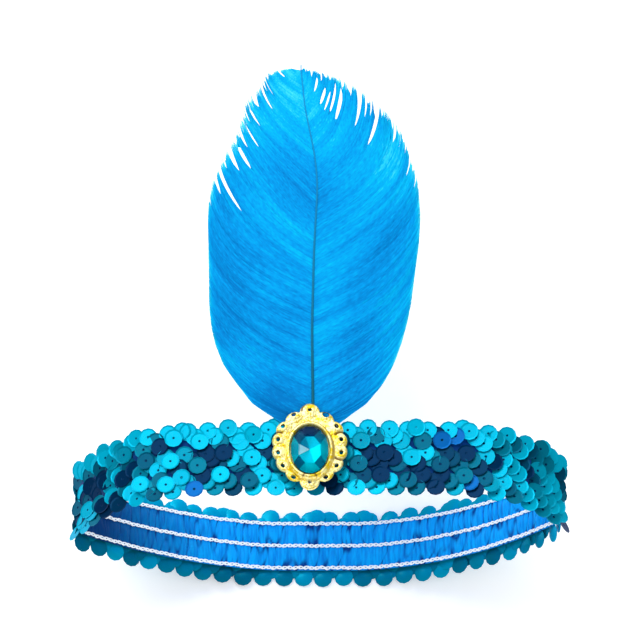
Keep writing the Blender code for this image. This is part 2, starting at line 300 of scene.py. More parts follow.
def smooth_ring(points, sigma, spacing):
    """A closed run of points blurred along itself by a Gaussian."""
    reach = int(3.0 * sigma / spacing) + 1
    offsets = np.arange(-reach, reach + 1)
    weights = np.exp(-0.5 * (offsets * spacing / sigma) ** 2)
    weights /= weights.sum()
    return sum(w * np.roll(points, -k, axis=0) for k, w in zip(offsets, weights))


turn = np.linspace(0.0, 2.0 * np.pi, LOOP_SAMPLES, endpoint=False)
across, up = np.cos(turn), np.sin(turn)
fullness = np.where(up > 0.0, FRONT_FULLNESS, BACK_FULLNESS)
reach = np.where(up > 0.0, LOOP_HEIGHT - WIDEST_AT, WIDEST_AT + FLATTENED_BY)
loop_x = LOOP_HALF_WIDTH * np.sign(across) * np.abs(across) ** (2.0 / fullness)
loop_z = reach * np.sign(up) * up**2 + END_LEAN * loop_x * (loop_x / LOOP_HALF_WIDTH) ** 2
loop_z = np.maximum(loop_z - loop_z.min() - FLATTENED_BY, 0.0)
even, rough_length = even_ring(np.column_stack([loop_x, loop_z]))
loop_points, LOOP_LENGTH = even_ring(smooth_ring(even, SMOOTHING / 2.0, rough_length / LOOP_SAMPLES))
loop_points[:, 1] = np.maximum(loop_points[:, 1] - loop_points[:, 1].min(), 0.0) + RESTING_HEIGHT
loop_ahead = np.roll(loop_points, -3, axis=0) - np.roll(loop_points, 3, axis=0)
loop_ahead /= np.hypot(*loop_ahead.T)[:, None]
print(f"loop: {LOOP_LENGTH / MM:.0f} mm round")


# %% Places on the loop
def loop_frame(share):
    """The middle line's point and its direction ahead, a share of the way round from the right end."""
    place = (share % 1.0) * LOOP_SAMPLES
    low = int(place) % LOOP_SAMPLES
    mix = place - int(place)
    point, ahead = (
        run[low] * (1.0 - mix) + run[(low + 1) % LOOP_SAMPLES] * mix for run in (loop_points, loop_ahead)
    )
    return point, ahead


def on_loop(share, y, height):
    """The point a share of the way round, at y across the band and so high off its middle line."""
    point, ahead = loop_frame(share)
    return Vector((point[0] + ahead[1] * height, y, point[1] - ahead[0] * height))


def placed_on_loop(share, y, height):
    """A matrix whose X runs ahead along the loop and whose Z points out of it."""
    ahead = loop_frame(share)[1]
    matrix = Matrix(((ahead[0], 0.0, ahead[1]), (0.0, -1.0, 0.0), (ahead[1], 0.0, -ahead[0]))).to_4x4()
    return Matrix.Translation(on_loop(share, y, height)) @ matrix


def share_where(x, front):
    """The share round the loop at which the front or the back wall passes x."""
    middle = loop_points[:, 1].mean()
    wall = loop_points[:, 1] > middle if front else loop_points[:, 1] < middle
    distance = np.where(wall, np.abs(loop_points[:, 0] - x), np.inf)
    return float(np.argmin(distance)) / LOOP_SAMPLES


# %% [markdown]
# ## The shirred lining
#
# The inside of the band is a thin satin strip that was sewn to stretched elastic thread. When the
# elastic shortens, the satin gathers into hundreds of fine folds across the band, held flat where the
# chain stitches run. Folds as large as 3 to 5 mm are modelled, because they show in outline and in
# the light; the finest ones, half a millimetre wide, are drawn in the material as bumps and painted
# light and shade.
#
# Noise read at a point of the loop itself closes on itself without a seam, because the loop does.

# %% Lining sizes
LINING_WIDTH = 21.4 * MM
LINING_STEPS = 1100
LINING_ACROSS = 20
LINING_HIDDEN = 4
LINING_ROUND = LINING_ACROSS + LINING_HIDDEN + 1
LINING_INSIDE = -0.35 * MM
LINING_OUTSIDE = 0.45 * MM
ROW_SPACING = 9.7 * MM
PUCKER_DEPTH = 1.0 * MM
PUCKER_WIDTH = 3.8 * MM
FOLD_DEPTH = 0.4 * MM
FOLD_WIDTH = 0.65 * MM
FOLD_SLANT = 0.9 * MM
CREASE_SHARPNESS = 0.07
PUCKER_SWELL = 2.2
PUCKER_TURN = 0.05
CHANNELS_APART = 7.0
SLANT_WAVES = 3.0
# What is left of the folds where stitches hold them, and of the painted crease shade where nothing does
FOLDS_WHEN_HELD = 0.35
CREASE_WHEN_LOOSE = 0.2
# Share of the fine folds' creases that gets painted shade
FINE_CREASE = 0.35
# The hidden outside ends this much short of the inside's edges, both sides together
LINING_TUCKED = 0.4 * MM


# %% Lining shape
def gathers(share, y):
    """Two noises at a place on the lining: one for the puckers between two rows, one for the fine folds."""
    point, _ = loop_frame(share)
    at = Vector((point[0], 0.0, point[1]))
    channel = math.floor(y / ROW_SPACING)
    slant = Vector((FOLD_SLANT * math.sin(SLANT_WAVES * y / ROW_SPACING + channel), 0.0, 0.0))
    turned = CHANNELS_APART * channel + PUCKER_TURN * y / MM
    wide = noise.noise((at + slant) / PUCKER_WIDTH + Vector((0.0, turned, 0.0)))
    fine = noise.noise((at - slant) / FOLD_WIDTH + Vector((0.0, y / ROW_SPACING, 0.0)))
    return wide, fine


def lining_relief(share, y):
    """How far the gathered satin stands in from its flat place: least on a line of stitches."""
    wide, fine = gathers(share, y)
    loose = math.sin(math.pi * y / ROW_SPACING) ** 2
    folds_left = FOLDS_WHEN_HELD + (1.0 - FOLDS_WHEN_HELD) * loose
    return loose * PUCKER_DEPTH * min(1.0, PUCKER_SWELL * abs(wide)) + folds_left * FOLD_DEPTH * fine


def crease_shade_at(i, j):
    """How deep a corner lies in a crease, as painted shade: puckers meet where their noise changes sign.

    All of the outside is painted dark, as shade."""
    if j % LINING_ROUND > LINING_ACROSS:
        return 1.0
    y = LINING_WIDTH * (j % LINING_ROUND / LINING_ACROSS - 0.5)
    wide, fine = gathers(i / LINING_STEPS, y)
    held = 1.0 - (1.0 - CREASE_WHEN_LOOSE) * math.sin(math.pi * y / ROW_SPACING) ** 2
    return held * math.exp(-((wide / CREASE_SHARPNESS) ** 2)) + FINE_CREASE * max(0.0, -fine)


def place_on_lining(i, j):
    """A corner of the lining's grid: over the gathered inside, then back along the hidden outside."""
    share = i / LINING_STEPS
    j %= LINING_ROUND
    if j <= LINING_ACROSS:
        y = LINING_WIDTH * (j / LINING_ACROSS - 0.5)
        return on_loop(share, y, LINING_INSIDE - lining_relief(share, y))
    back = (j - LINING_ACROSS - 1) / (LINING_HIDDEN - 1)
    return on_loop(share, (LINING_WIDTH - LINING_TUCKED) * (0.5 - back), LINING_OUTSIDE)


lining = shaped_grid(LINING_STEPS, LINING_ROUND, place_on_lining, crease_shade_at)
print("lining corners:", len(lining.verts))

# %% [markdown]
# Polyester satin is dyed one even blue. What the eye reads as stripes is its folds: a lit side, a
# shaded side, and a dark crease where a thread pulls the cloth in. All three are painted light and
# shade in the colour, over the folds' bumps. The pattern is read from the strip's own UV map, scaled
# to millimetres, so it stays across the band round the bends.

# %% Lining finish
satin, tree, shader = new_material(
    "shirred_polyester_satin", Roughness=0.55, Sheen_Weight=0.02, Specular_IOR_Level=0.06
)
strip = add_node(tree, "TexCoord")
length_mm = LOOP_LENGTH / MM
width_mm = LINING_WIDTH / MM * LINING_ROUND / LINING_ACROSS
# A fine fold is 0.5 mm wide, drawn at 1 mm so that it shows, and runs 9 mm across the band
FOLD_DRAWN = (1.0, 9.0)
fold_scale = (length_mm / FOLD_DRAWN[0], width_mm / FOLD_DRAWN[1], 1.0)
fold_at = add_node(tree, "Mapping", {"Vector": strip.outputs["UV"], "Scale": fold_scale})
folds = add_node(tree, "TexNoise", {"Vector": fold_at.outputs[0], "Scale": 1.0, "Detail": 2.0})
# Painted light and shade: the fine folds' lit sides lighter blue, their shaded sides darker
fold_light_and_shade = colour_by_tone(tree, folds.outputs["Fac"], "#0084DE", (0.3, 0.7, "#02ACFC"))
# Painted shade: darker in the creases, most near the stitches, and all over the hidden outside
crease = add_node(tree, "Attribute", attribute_name="tone")
crease_shaded = colour_by_tone(tree, crease.outputs["Fac"], fold_light_and_shade, (0.05, 0.75, "#003F8C"))
# Painted shade: the left end is darker, where the gathers lie closest and the folds hide the light from one
# another
placed = add_node(tree, "SeparateXYZ", {"Vector": strip.outputs["Object"]})
left_end_shaded = colour_by_tone(tree, placed.outputs["X"], crease_shaded, (-40.0 * MM, -85.0 * MM, "#003A74"))
raised = add_node(tree, "Bump", {"Height": folds.outputs["Fac"], "Strength": 0.6, "Distance": 0.5 * MM})
tree.links.new(left_end_shaded, shader.inputs["Base Color"])
tree.links.new(raised.outputs[0], shader.inputs["Normal"])
lining_piece = add_piece("shirred_lining", lining, satin, ["elastic_band"])

# %% [markdown]
# ## Chain stitches
#
# Each row of sequins is sewn on by a chain stitch in white elastic thread: a run of small loops, each
# caught by the next. One loop is a ring of yarn, made by spinning a little square round a full turn
# and then drawn out to a drop. Copies of it follow the loop of the band, about two millimetres apart,
# and lean left and right by turns, as the two legs of a stitch do. The yarn is spun white polyester
# round an elastic core, so it is soft and matt, with a little fuzz.

# %% One stitch
STITCH_PITCH = 2.15 * MM
STITCH_LENGTH = 3.0 * MM
STITCH_WIDTH = 1.55 * MM
YARN_RADIUS = 0.30 * MM
STITCH_HEIGHT = -0.80 * MM
STITCH_LEAN = math.radians(9.0)
# A loop's front end is narrower and dips, by these shares of its width and of the yarn's radius
STITCH_NARROWS = 0.35
STITCH_DIPS = 0.3
YARN_SIDES = 5
STITCH_BENDS = 9
# How far a stitch strays, in degrees and in millimetres
STRAY_TURN = 4.0
STRAY_ASIDE = 0.12
SEQUIN_ROWS = {"bottom": -1, "middle": 0, "top": 1}


def spun_round(bm, section, steps):
    """Spin a section a full turn round Z."""
    axis = (0.0, 0.0, 1.0)
    bmesh.ops.spin(bm, geom=section, axis=axis, angle=2.0 * math.pi, steps=steps, use_merge=True)


def stitch_loop():
    """A drop-shaped ring of yarn in the XY plane, a few dozen faces."""
    bm = bmesh.new()
    ring_radius = STITCH_WIDTH / 2.0 - YARN_RADIUS
    turned = Matrix.Translation((ring_radius, 0.0, 0.0)) @ Matrix.Rotation(math.pi / 2.0, 4, "X")
    bmesh.ops.create_circle(bm, segments=YARN_SIDES, radius=YARN_RADIUS, matrix=turned)
    spun_round(bm, bm.verts[:] + bm.edges[:], STITCH_BENDS)
    bmesh.ops.recalc_face_normals(bm, faces=bm.faces)
    for vert in bm.verts:
        ahead = vert.co.x / (STITCH_WIDTH / 2.0)
        vert.co.x *= STITCH_LENGTH / STITCH_WIDTH
        vert.co.y *= 1.0 - STITCH_NARROWS * ahead
        vert.co.z -= STITCH_DIPS * YARN_RADIUS * ahead
    return as_mesh("stitch_loop", bm)


# %% Rows of stitches
def stitch_places(y):
    """One matrix for each loop of a row, leaning by turns."""
    count = round(LOOP_LENGTH / STITCH_PITCH / 2.0) * 2
    draw = Random(round(y / MM * 10.0))
    for k in range(count):
        lean = STITCH_LEAN * (1 if k % 2 else -1) + math.radians(draw.uniform(-STRAY_TURN, STRAY_TURN))
        wander = draw.uniform(-STRAY_ASIDE, STRAY_ASIDE) * MM
        yield placed_on_loop(k / count, y + wander, STITCH_HEIGHT) @ Matrix.Rotation(lean, 4, "Z")


yarn, tree, shader = new_material("white_elastic_yarn", Roughness=0.85, Sheen_Weight=0.2)
yarn_at = add_node(tree, "TexCoord")
# Fibres of a stretch yarn are 0.1 mm thick, drawn at 0.5 mm so that they show
fibre_scale = 1.0 / (0.5 * MM)
fibres = add_node(
    tree, "TexNoise", {"Vector": yarn_at.outputs["Object"], "Scale": fibre_scale, "Detail": 2.0}
)
soiled = colour_by_tone(tree, fibres.outputs["Fac"], "#EAF2F8", (0.0, 1.0, "#FFFFFF"))
fuzzy = add_node(tree, "Bump", {"Height": fibres.outputs["Fac"], "Strength": 0.5, "Distance": 0.1 * MM})
tree.links.new(soiled, shader.inputs["Base Color"])
tree.links.new(fuzzy.outputs[0], shader.inputs["Normal"])

for label, rank in SEQUIN_ROWS.items():
    chain = bmesh.new()
    places = list(stitch_places(rank * ROW_SPACING))
    repeat(chain, stitch_loop(), places, [0.0] * len(places))
    add_piece(f"chain_stitches_{label}", chain, yarn)

# %% [markdown]
# ## Cup sequins
#
# A cup sequin is a disc of thin film pressed to a dish that is nearly flat. Its thread fills the hole
# in its middle and pulls it down to a pit, which is painted dark as shade. The section of the dish is
# seven points: spun round a full turn, they give a closed dish with a real thickness. About five
# hundred copies lie like scales, each with its edge on the next, and swing from side to side of their
# row in threes. At the top edge every seventh stands out by half its width, and every fourth rides up
# over its neighbours, so it is seen as a whole disc.

# %% One sequin
SEQUIN_RADIUS = 3.75 * MM
SEQUIN_PIT = 0.25 * MM
SEQUIN_DIMPLE = 0.6 * MM
SEQUIN_FLOOR = 3.1 * MM
SEQUIN_RISE = 0.16 * MM
SEQUIN_FILM = 0.12 * MM
SEQUIN_SIDES = 12


def cup_sequin():
    """The pressed dish, hollow side up, with its middle at the origin."""
    bm = bmesh.new()
    film = Vector((0.0, 0.0, SEQUIN_FILM))
    pit = Vector((0.0, 0.0, -SEQUIN_PIT))
    dimple = Vector((SEQUIN_DIMPLE, 0.0, 0.0))
    floor_edge = Vector((SEQUIN_FLOOR, 0.0, 0.0))
    rim = Vector((SEQUIN_RADIUS, 0.0, SEQUIN_RISE))
    section = [pit, dimple, floor_edge, rim, rim - film, floor_edge - film, pit - film]
    corners = [bm.verts.new(point) for point in section]
    edges = [bm.edges.new((corners[k], corners[k + 1])) for k in range(len(corners) - 1)]
    spun_round(bm, corners + edges, SEQUIN_SIDES)
    bmesh.ops.remove_doubles(bm, verts=bm.verts, dist=0.001 * MM)
    bmesh.ops.recalc_face_normals(bm, faces=bm.faces)
    return as_mesh("cup_sequin", bm)


# %% Places of the sequins
SEQUIN_PITCH = 2.65 * MM
SEQUIN_HEIGHT = 1.7 * MM
# Stray of a sequin along its row and shift from row to row, as shares of the pitch
PITCH_STRAY = 0.2
ROWS_STAGGERED_BY = 0.5
SEQUIN_SEED = 40
# The shares that a sequin's swing varies between
SWING_BETWEEN = (0.9, 1.1)
STANDS_OUT_BETWEEN = (0.9, 1.05)
# Swing of three sequins in turn from their line of stitches, for each row
ROW_SWING = {
    -1: (-3.4 * MM, -0.3 * MM, 2.2 * MM),
    0: (-2.5 * MM, 0.2 * MM, 2.4 * MM),
    1: (-2.2 * MM, 0.2 * MM, 2.5 * MM),
}
PATTERN_REPEATS_EVERY = 84
STANDS_OUT_EVERY = 7
STANDS_OUT_BY = 3.6 * MM
RIDES_UP_EVERY = 4
RIDES_UP_BY = 0.75 * MM
RIDER_LEANS = 0.3
EDGE_ROWS_UP_BY = 0.45 * MM
SCALE_LEAN = math.radians(9.0)
EDGE_LEAN = math.radians(6.0)
STRAY_LEAN = math.radians(1.8)
# Where the band turns down at its ends the sequins stand open, and lie closer to the elastic
STAND_OPEN = math.radians(36.0)
CLOSER_AT_ENDS = 1.3 * MM
LIE_NEAR_FLOOR = 0.95 * MM
# Under the back wall the weight of the band presses them back towards the floor, below this height
PRESSED_BELOW = 42.0 * MM
PRESSED_BY = math.radians(26.0)
# At the ends of the band its edges draw in, and the sequins along them turn with it, this much more
DROOP_AT_ENDS = 2.0

# %% [markdown]
# Which sequins are bright and which dark is a painted reflection: a disc is painted cyan where it
# would mirror a softbox and navy where it would mirror the dark room. Such turns are not quite chance:
# they come in clusters, with the twist of their thread. Each copy takes a tone from where it lies, from
# a slow drift along the band and from its own stray turn, and a few clusters that stand out are
# placed one by one.

# %% Tones of the sequins
# Painted reflection: the front is lighter on its left and darker on its right, and the back rows and the top
# edge have their own painted tones
FRONT_LEFT_TONE = 0.64
FRONT_RIGHT_TONE = 0.42
# The front's tone changes from here on, over this length
TONES_CHANGE_FROM = -10.0 * MM
TONES_CHANGE_OVER = 30.0 * MM
# On the front, sequins of the top row that lie beyond this are painted brighter by this much
EDGE_BEYOND = 11.0 * MM
EDGE_TONE = 0.45
BACK_TONES = {-1: 0.52, 0: 0.5, 1: 0.95}
BACK_CHANCE = 0.15
TONE_DRIFT = 0.9
DRIFT_SIZE = 11.0 * MM
TONE_STRAY = 0.24
CLUSTER_FIRMNESS = 1.6
# Middle, radius and painted tone of the clusters that stand out, lengths in millimetres
CLUSTERS = (
    ((-41.0, 1.0, 84.0), 6.5, 0.0),
    ((-33.0, -5.0, 86.0), 6.0, 0.02),
    ((-37.0, -13.0, 86.0), 4.5, 0.0),
    ((-23.0, -12.0, 86.0), 4.5, 0.1),
    ((-23.0, 4.0, 87.0), 5.0, 0.3),
    ((-66.0, 0.0, 72.0), 12.0, 0.42),
    ((-82.0, 0.0, 55.0), 13.0, 0.1),
    ((-60.0, -8.0, 78.0), 5.0, 0.5),
    ((23.0, -4.0, 87.0), 10.0, 0.0),
    ((12.0, 4.0, 87.0), 5.0, 0.9),
    ((54.0, -3.0, 81.0), 17.0, 0.44),
    ((88.0, -4.0, 52.0), 13.0, 0.62),
    ((-56.0, 12.0, 3.0), 9.0, 0.15),
)


def painted_reflection_tone(middle, rank, draw):
    """How bright a sequin is painted, from 0 for navy to 1 for bright cyan, as a painted reflection."""
    right = min(1.0, max(0.0, (middle.x - TONES_CHANGE_FROM) / TONES_CHANGE_OVER))
    at_edge = EDGE_TONE if rank > 0 and middle.y > EDGE_BEYOND else 0.0
    tone, chance = BACK_TONES[rank], BACK_CHANCE
    if middle.z > LOOP_HEIGHT / 2.0:
        tone = FRONT_LEFT_TONE + (FRONT_RIGHT_TONE - FRONT_LEFT_TONE) * right + at_edge
        chance = 1.0
    for place, radius, cluster_tone in CLUSTERS:
        closeness = max(0.0, 1.0 - ((middle / MM - Vector(place)).length / radius) ** 2)
        tone += (cluster_tone - tone) * min(1.0, CLUSTER_FIRMNESS * closeness)
    drift = noise.noise(middle / DRIFT_SIZE)
    return min(1.0, max(0.0, tone + chance * (TONE_DRIFT * drift + draw.gauss(0.0, TONE_STRAY))))


# %% Sequin rows
def sequin_places(rank):
    """One matrix for each sequin of a row, and its tone."""
    count = round(LOOP_LENGTH / SEQUIN_PITCH / PATTERN_REPEATS_EVERY) * PATTERN_REPEATS_EVERY
    draw = Random(SEQUIN_SEED + rank)
    places, tones = [], []
    for k in range(count):
        share = (k - ROWS_STAGGERED_BY * rank + draw.uniform(-PITCH_STRAY, PITCH_STRAY)) / count
        swing = ROW_SWING[rank][k % 3] * draw.uniform(*SWING_BETWEEN)
        if rank > 0 and k % STANDS_OUT_EVERY == 0:
            swing = STANDS_OUT_BY * draw.uniform(*STANDS_OUT_BETWEEN)
        rides = k % RIDES_UP_EVERY == 0
        y = rank * ROW_SPACING + swing
        rising = loop_frame(share)[1][1]
        above = SEQUIN_HEIGHT + EDGE_ROWS_UP_BY * abs(rank) - CLOSER_AT_ENDS * rising**2
        above += RIDES_UP_BY if rides else 0.0
        middle = on_loop(share, y, above)
        height = above - max(0.0, LIE_NEAR_FLOOR - middle.z)
        room = max(middle.z, LIE_NEAR_FLOOR) - SEQUIN_RISE
        most = math.asin(min(1.0, room / SEQUIN_RADIUS)) if room < SEQUIN_RADIUS else math.pi
        along = (RIDER_LEANS if rides else 1.0) * SCALE_LEAN + draw.gauss(0.0, STRAY_LEAN)
        along += STAND_OPEN * rising * min(1.0, middle.z / LOOP_HEIGHT)
        along -= PRESSED_BY * rising * max(0.0, 1.0 - middle.z / PRESSED_BELOW) ** 0.5
        aside = -EDGE_LEAN * y / (ROW_SPACING + STANDS_OUT_BY) * (1.0 + DROOP_AT_ENDS * rising**4)
        aside += draw.gauss(0.0, STRAY_LEAN)
        along = max(-most, min(most, along))
        aside = max(-most, min(most, aside))
        leaning = Matrix.Rotation(along, 4, "Y") @ Matrix.Rotation(aside, 4, "X")
        places.append(placed_on_loop(share, y, height) @ leaning)
        tones.append(painted_reflection_tone(middle, rank, draw))
    return places, tones


# %% [markdown]
# The film is polyester with a vapour of metal behind blue lacquer. From sequin to sequin it looks
# cyan, teal or navy by what it mirrors, and the tone that each copy carries paints that reflection into
# its colour. The finish is only half a mirror, so the painted colour holds from every side, with a
# faint gloss.

# %% Sequin finish
film, tree, shader = new_material(
    "metallised_polyester_film",
    Metallic=0.4,
    Roughness=0.3,
    Specular_IOR_Level=0.03,
    Specular_Tint="#5AB4DC",
    Coat_Weight=0.05,
    Coat_Roughness=0.08,
)
tone = add_node(tree, "Attribute", attribute_name="tone")
toned = colour_by_tone(
    tree, tone.outputs["Fac"], "#00284C", (0.05, 0.45, "#006E88"), (0.45, 0.62, "#00A6C8")
)
# Between navy and teal lies a narrow band of painted tones in which the film is painted royal blue
thin = add_node(tree, "Math", {0: tone.outputs["Fac"], 1: 0.32, 2: 0.016}, operation="COMPARE")
reflection_colour = colour_by_tone(tree, thin.outputs[0], toned, (0.0, 1.0, "#085CA6"))
film_at = add_node(tree, "TexCoord")
# The film is pressed warm, which leaves it uneven over about 2 mm
wave_scale = 1.0 / (2.0 * MM)
waves = add_node(tree, "TexNoise", {"Vector": film_at.outputs["Object"], "Scale": wave_scale, "Detail": 1.0})
uneven = add_node(tree, "Bump", {"Height": waves.outputs["Fac"], "Strength": 0.1, "Distance": 0.3 * MM})
tree.links.new(reflection_colour, shader.inputs["Base Color"])
tree.links.new(uneven.outputs[0], shader.inputs["Normal"])

# Painted shade: corners this near a sequin's middle are painted dark, as the shade in its pit
PIT_SHADE_WITHIN = 1.2 * SEQUIN_PIT
for label, rank in SEQUIN_ROWS.items():
    scales = bmesh.new()
    places, tones = sequin_places(rank)
    repeat(scales, cup_sequin(), places, tones, pit_shade_within=PIT_SHADE_WITHIN)
    for vert in scales.verts:
        vert.co.z = max(vert.co.z, 0.0)
    solid = [f"sequin_row_{label}"]
    add_piece(f"sequins_{label}", scales, film, solid, sharp_over=12.0)

# %% [markdown]
# ## The plume
#
# An ostrich feather is a quill with hundreds of soft barbs on each side. The barbs leave the quill some
# thirty degrees above level and curl up towards their tips. They cling together in locks, and the white
# shows between the locks along the upper edge. A family of curves gives every barb: it says where a barb
# numbered 0 at the foot to 1 at the tip runs.

# %% Plume sizes
PLUME_LENGTH = 158.7 * MM
QUILL_TUCKED = 3.0 * MM
BOW_HEIGHT = 4.0 * MM
TIP_DROP = 5.0 * MM
VANE_CROWN = 6.0 * MM
VANE_HALF_WIDTH = 42.0 * MM
FAN_SHARE = 0.16
FAN_TOP = 34.0 * MM
TIP_OVERSHOOT = 0.9 * MM
# On the right the upper barbs are swept up, by this many barb numbers for their whole length
SWEPT_FROM = 0.55
SWEPT_UP = 0.052
SWEPT_BEYOND = 0.3
# How round a barb's curve is at the foot, and how much rounder it gets, by this share of the quill
FAN_BEND = 1.15
BEND_GROWS_BY = 0.4
BEND_GROWN_AT = 0.3

# Height up the vane, then how far it reaches to the left and to the right, in millimetres
VANE_OUTLINE = (
    (0.0, 12.0, 10.0),
    (10.0, 24.6, 22.0),
    (18.9, 30.4, 28.4),
    (27.5, 35.6, 32.6),
    (36.3, 38.6, 35.6),
    (45.0, 40.4, 37.7),
    (54.0, 41.3, 39.2),
    (71.6, 41.9, 40.8),
    (80.7, 42.4, 41.6),
    (92.0, 43.2, 41.6),
    (100.7, 43.2, 40.8),
    (109.6, 41.2, 40.2),
    (118.6, 36.4, 38.6),
    (127.7, 30.7, 37.6),
    (136.5, 25.8, 35.6),
    (145.8, 23.0, 28.5),
    (150.0, 17.5, 23.0),
    (153.3, 16.0, 18.5),
    (156.8, 14.2, 11.5),
    (158.7, 13.0, 4.5),
    (159.6, 4.0, 1.0),
)

# Height up the vane and the sideways drift of the quill, in millimetres
QUILL_DRIFT = (
    (0.0, 0.0),
    (40.0, -0.5),
    (75.0, 0.3),
    (105.0, 1.8),
    (120.0, 0.4),
    (140.0, -3.3),
    (158.7, -4.9),
)

# Share of the quill at which a barb is rooted, how much higher its tip is in millimetres, and how
# straight it runs, from 0 for an arc that leaves the quill level to 1 for an even slope
BARB_RISE = (
    (0.0, 34.0, 0.55),
    (0.2, 42.0, 0.6),
    (0.4, 48.0, 0.7),
    (0.6, 45.0, 0.85),
    (0.8, 28.0, 0.9),
    (0.93, 11.0, 1.0),
    (1.0, 1.5, 1.0),
)

# %% Curves of the plume
CURVE_SAMPLES = 400


def smooth_curve(table, column, blur):
    """A column of a table as a function of its first one, with the corners blurred away."""
    keys = [row[0] for row in table]
    values = [row[column] for row in table]
    at = np.linspace(keys[0], keys[-1], CURVE_SAMPLES)
    exact = np.interp(at, keys, values)
    weights = np.hanning(2 * blur + 1)
    before = 2 * exact[0] - exact[blur:0:-1]
    after = 2 * exact[-1] - exact[-2 : -blur - 2 : -1]
    smooth = np.convolve(np.concatenate([before, exact, after]), weights / weights.sum(), "valid")
    return lambda key: float(np.interp(key, at, smooth))


left_reach = smooth_curve(VANE_OUTLINE, 1, 7)
right_reach = smooth_curve(VANE_OUTLINE, 2, 7)
quill_drift = smooth_curve(QUILL_DRIFT, 1, 30)
barb_rise = smooth_curve(BARB_RISE, 1, 30)
barb_slope = smooth_curve(BARB_RISE, 2, 30)
print(f"vane: {left_reach(80.0) + right_reach(80.0):.0f} mm wide half way up")


def plume_height(along):
    """How high the quill's middle lies over its foot, at a distance up the feather."""
    share = along / PLUME_LENGTH
    return BOW_HEIGHT * math.sin(math.pi * share) - TIP_DROP * share**2


def barb_point(number, side, t):
    """Where the barb of this number is, t of the way from the quill to its tip."""
    if side > 0 and number > SWEPT_FROM:
        upper = (number - SWEPT_FROM) / (1.0 - SWEPT_FROM)
        number = min(1.0, number + SWEPT_UP * max(0.0, t - SWEPT_BEYOND) * math.sin(math.pi * upper))
    rooted = max(0.0, (number - FAN_SHARE) / (1.0 - FAN_SHARE))
    root = PLUME_LENGTH * rooted
    if number < FAN_SHARE:
        tip = FAN_TOP * number / FAN_SHARE
    else:
        tip = min(root + barb_rise(rooted) * MM, PLUME_LENGTH + TIP_OVERSHOOT)
    bend = FAN_BEND + BEND_GROWS_BY * min(1.0, rooted / BEND_GROWN_AT)
    level = barb_slope(rooted)
    reach = (left_reach if side < 0 else right_reach)(tip / MM) * MM
    along = root + (tip - root) * (level * t + (1.0 - level) * t**2)
    aside = reach * (1.0 - max(0.0, 1.0 - t) ** bend)
    x = quill_drift(along / MM) * MM + side * aside
    sag = VANE_CROWN * (aside / VANE_HALF_WIDTH) ** 2
    return Vector((x, along, plume_height(along) - sag))


# %% [markdown]
# The vane is a comb: one grid whose every second column of faces is deleted, which leaves separate
# strips. Each strip is a barb. A fine layer lies over a coarse one that keeps the light out, and loose
# hairs stand out past the edge. Towards the tips the barbs of a lock draw together and those at its
# sides are shorter, so a lock is pointed. In the upper half the locks part here and there, and the
# white shows through as a long thin slit.

# %% Locks of barbs
LOCKS_PER_SIDE = 46
LOCK_SIZES = (0.4, 1.6)
LOCK_SEEDS = {-1: 7, 1: 8}
# How much an open lock draws together at its tip, and how much shorter its side barbs are
LOCK_PULL = 0.5
LOCK_SHORTER = 0.07
LOCK_GATHERS_FROM = 0.7
# A barb's number is 0 at the plume's foot and 1 at its top. From RAGGED_FROM on the locks open, by
# degrees over RAGGED_OVER, and the tightest ones open by LEAST_OPEN only.
RAGGED_FROM = 0.4
RAGGED_OVER = 0.3
LEAST_OPEN = 0.25

# %% Slits between the locks
SLIT_SPREAD = 3.0
OPEN_MOUTH = 1.05
# Each slit: the barb number it lies at, where along the barb it opens, its half width in barb numbers,
# and where it closes. One without that last number stays open past the edge of the vane
SLITS = {
    -1: (
        (0.455, 0.90, 0.0020), (0.498, 0.88, 0.0035), (0.518, 0.62, 0.0050), (0.540, 0.90, 0.0030),
        (0.566, 0.82, 0.0060), (0.597, 0.73, 0.0040, 0.95), (0.620, 0.82, 0.0065),
        (0.652, 0.72, 0.0040, 0.92), (0.686, 0.88, 0.0050), (0.724, 0.73, 0.0045, 0.92),
        (0.755, 0.86, 0.0060), (0.802, 0.62, 0.0080), (0.828, 0.84, 0.0055), (0.857, 0.64, 0.0055),
        (0.890, 0.84, 0.0050), (0.951, 0.62, 0.0045),
    ),
    1: (
        (0.500, 0.92, 0.0040), (0.550, 0.82, 0.0045), (0.580, 0.90, 0.0040), (0.628, 0.80, 0.0065),
        (0.688, 0.57, 0.0095), (0.709, 0.80, 0.0040), (0.724, 0.74, 0.0035), (0.743, 0.60, 0.0060),
        (0.775, 0.88, 0.0040), (0.803, 0.44, 0.0055, 0.88), (0.827, 0.42, 0.0045, 0.88),
        (0.847, 0.40, 0.0040, 0.72), (0.871, 0.37, 0.0058, 0.70), (0.893, 0.76, 0.0045),
        (0.911, 0.40, 0.0042, 0.80), (0.935, 0.74, 0.0040), (0.962, 0.80, 0.0035),
    ),
}


# %% Drawing a lock together
def lock_edges(side):
    """The barb numbers at which one lock ends and the next begins."""
    draw = Random(LOCK_SEEDS[side])
    sizes = np.array([draw.uniform(*LOCK_SIZES) for _ in range(LOCKS_PER_SIDE)])
    return np.concatenate([[0.0], np.cumsum(sizes) / sizes.sum()])


LOCK_EDGES = {side: lock_edges(side) for side in (-1, 1)}
print("slits, left and right:", len(SLITS[-1]), len(SLITS[1]))


def clear_of_slits(number, of_barb, side, t):
    """A place across a barb, moved out of each slit that opens beside the barb."""
    for middle, opens, half_width, *closed in SLITS[side]:
        closes = closed[0] if closed else OPEN_MOUTH
        if opens < t < closes:
            share = (t - opens) / (closes - opens)
            gap = half_width * (math.sin(math.pi * share) if closed else share) ** 0.5
            beside = 1.0 if of_barb >= middle else -1.0
            apart = max(0.0, (number - middle) * beside)
            if apart < SLIT_SPREAD * gap:
                number = middle + beside * (gap + apart * (1.0 - 1.0 / SLIT_SPREAD))
    return number


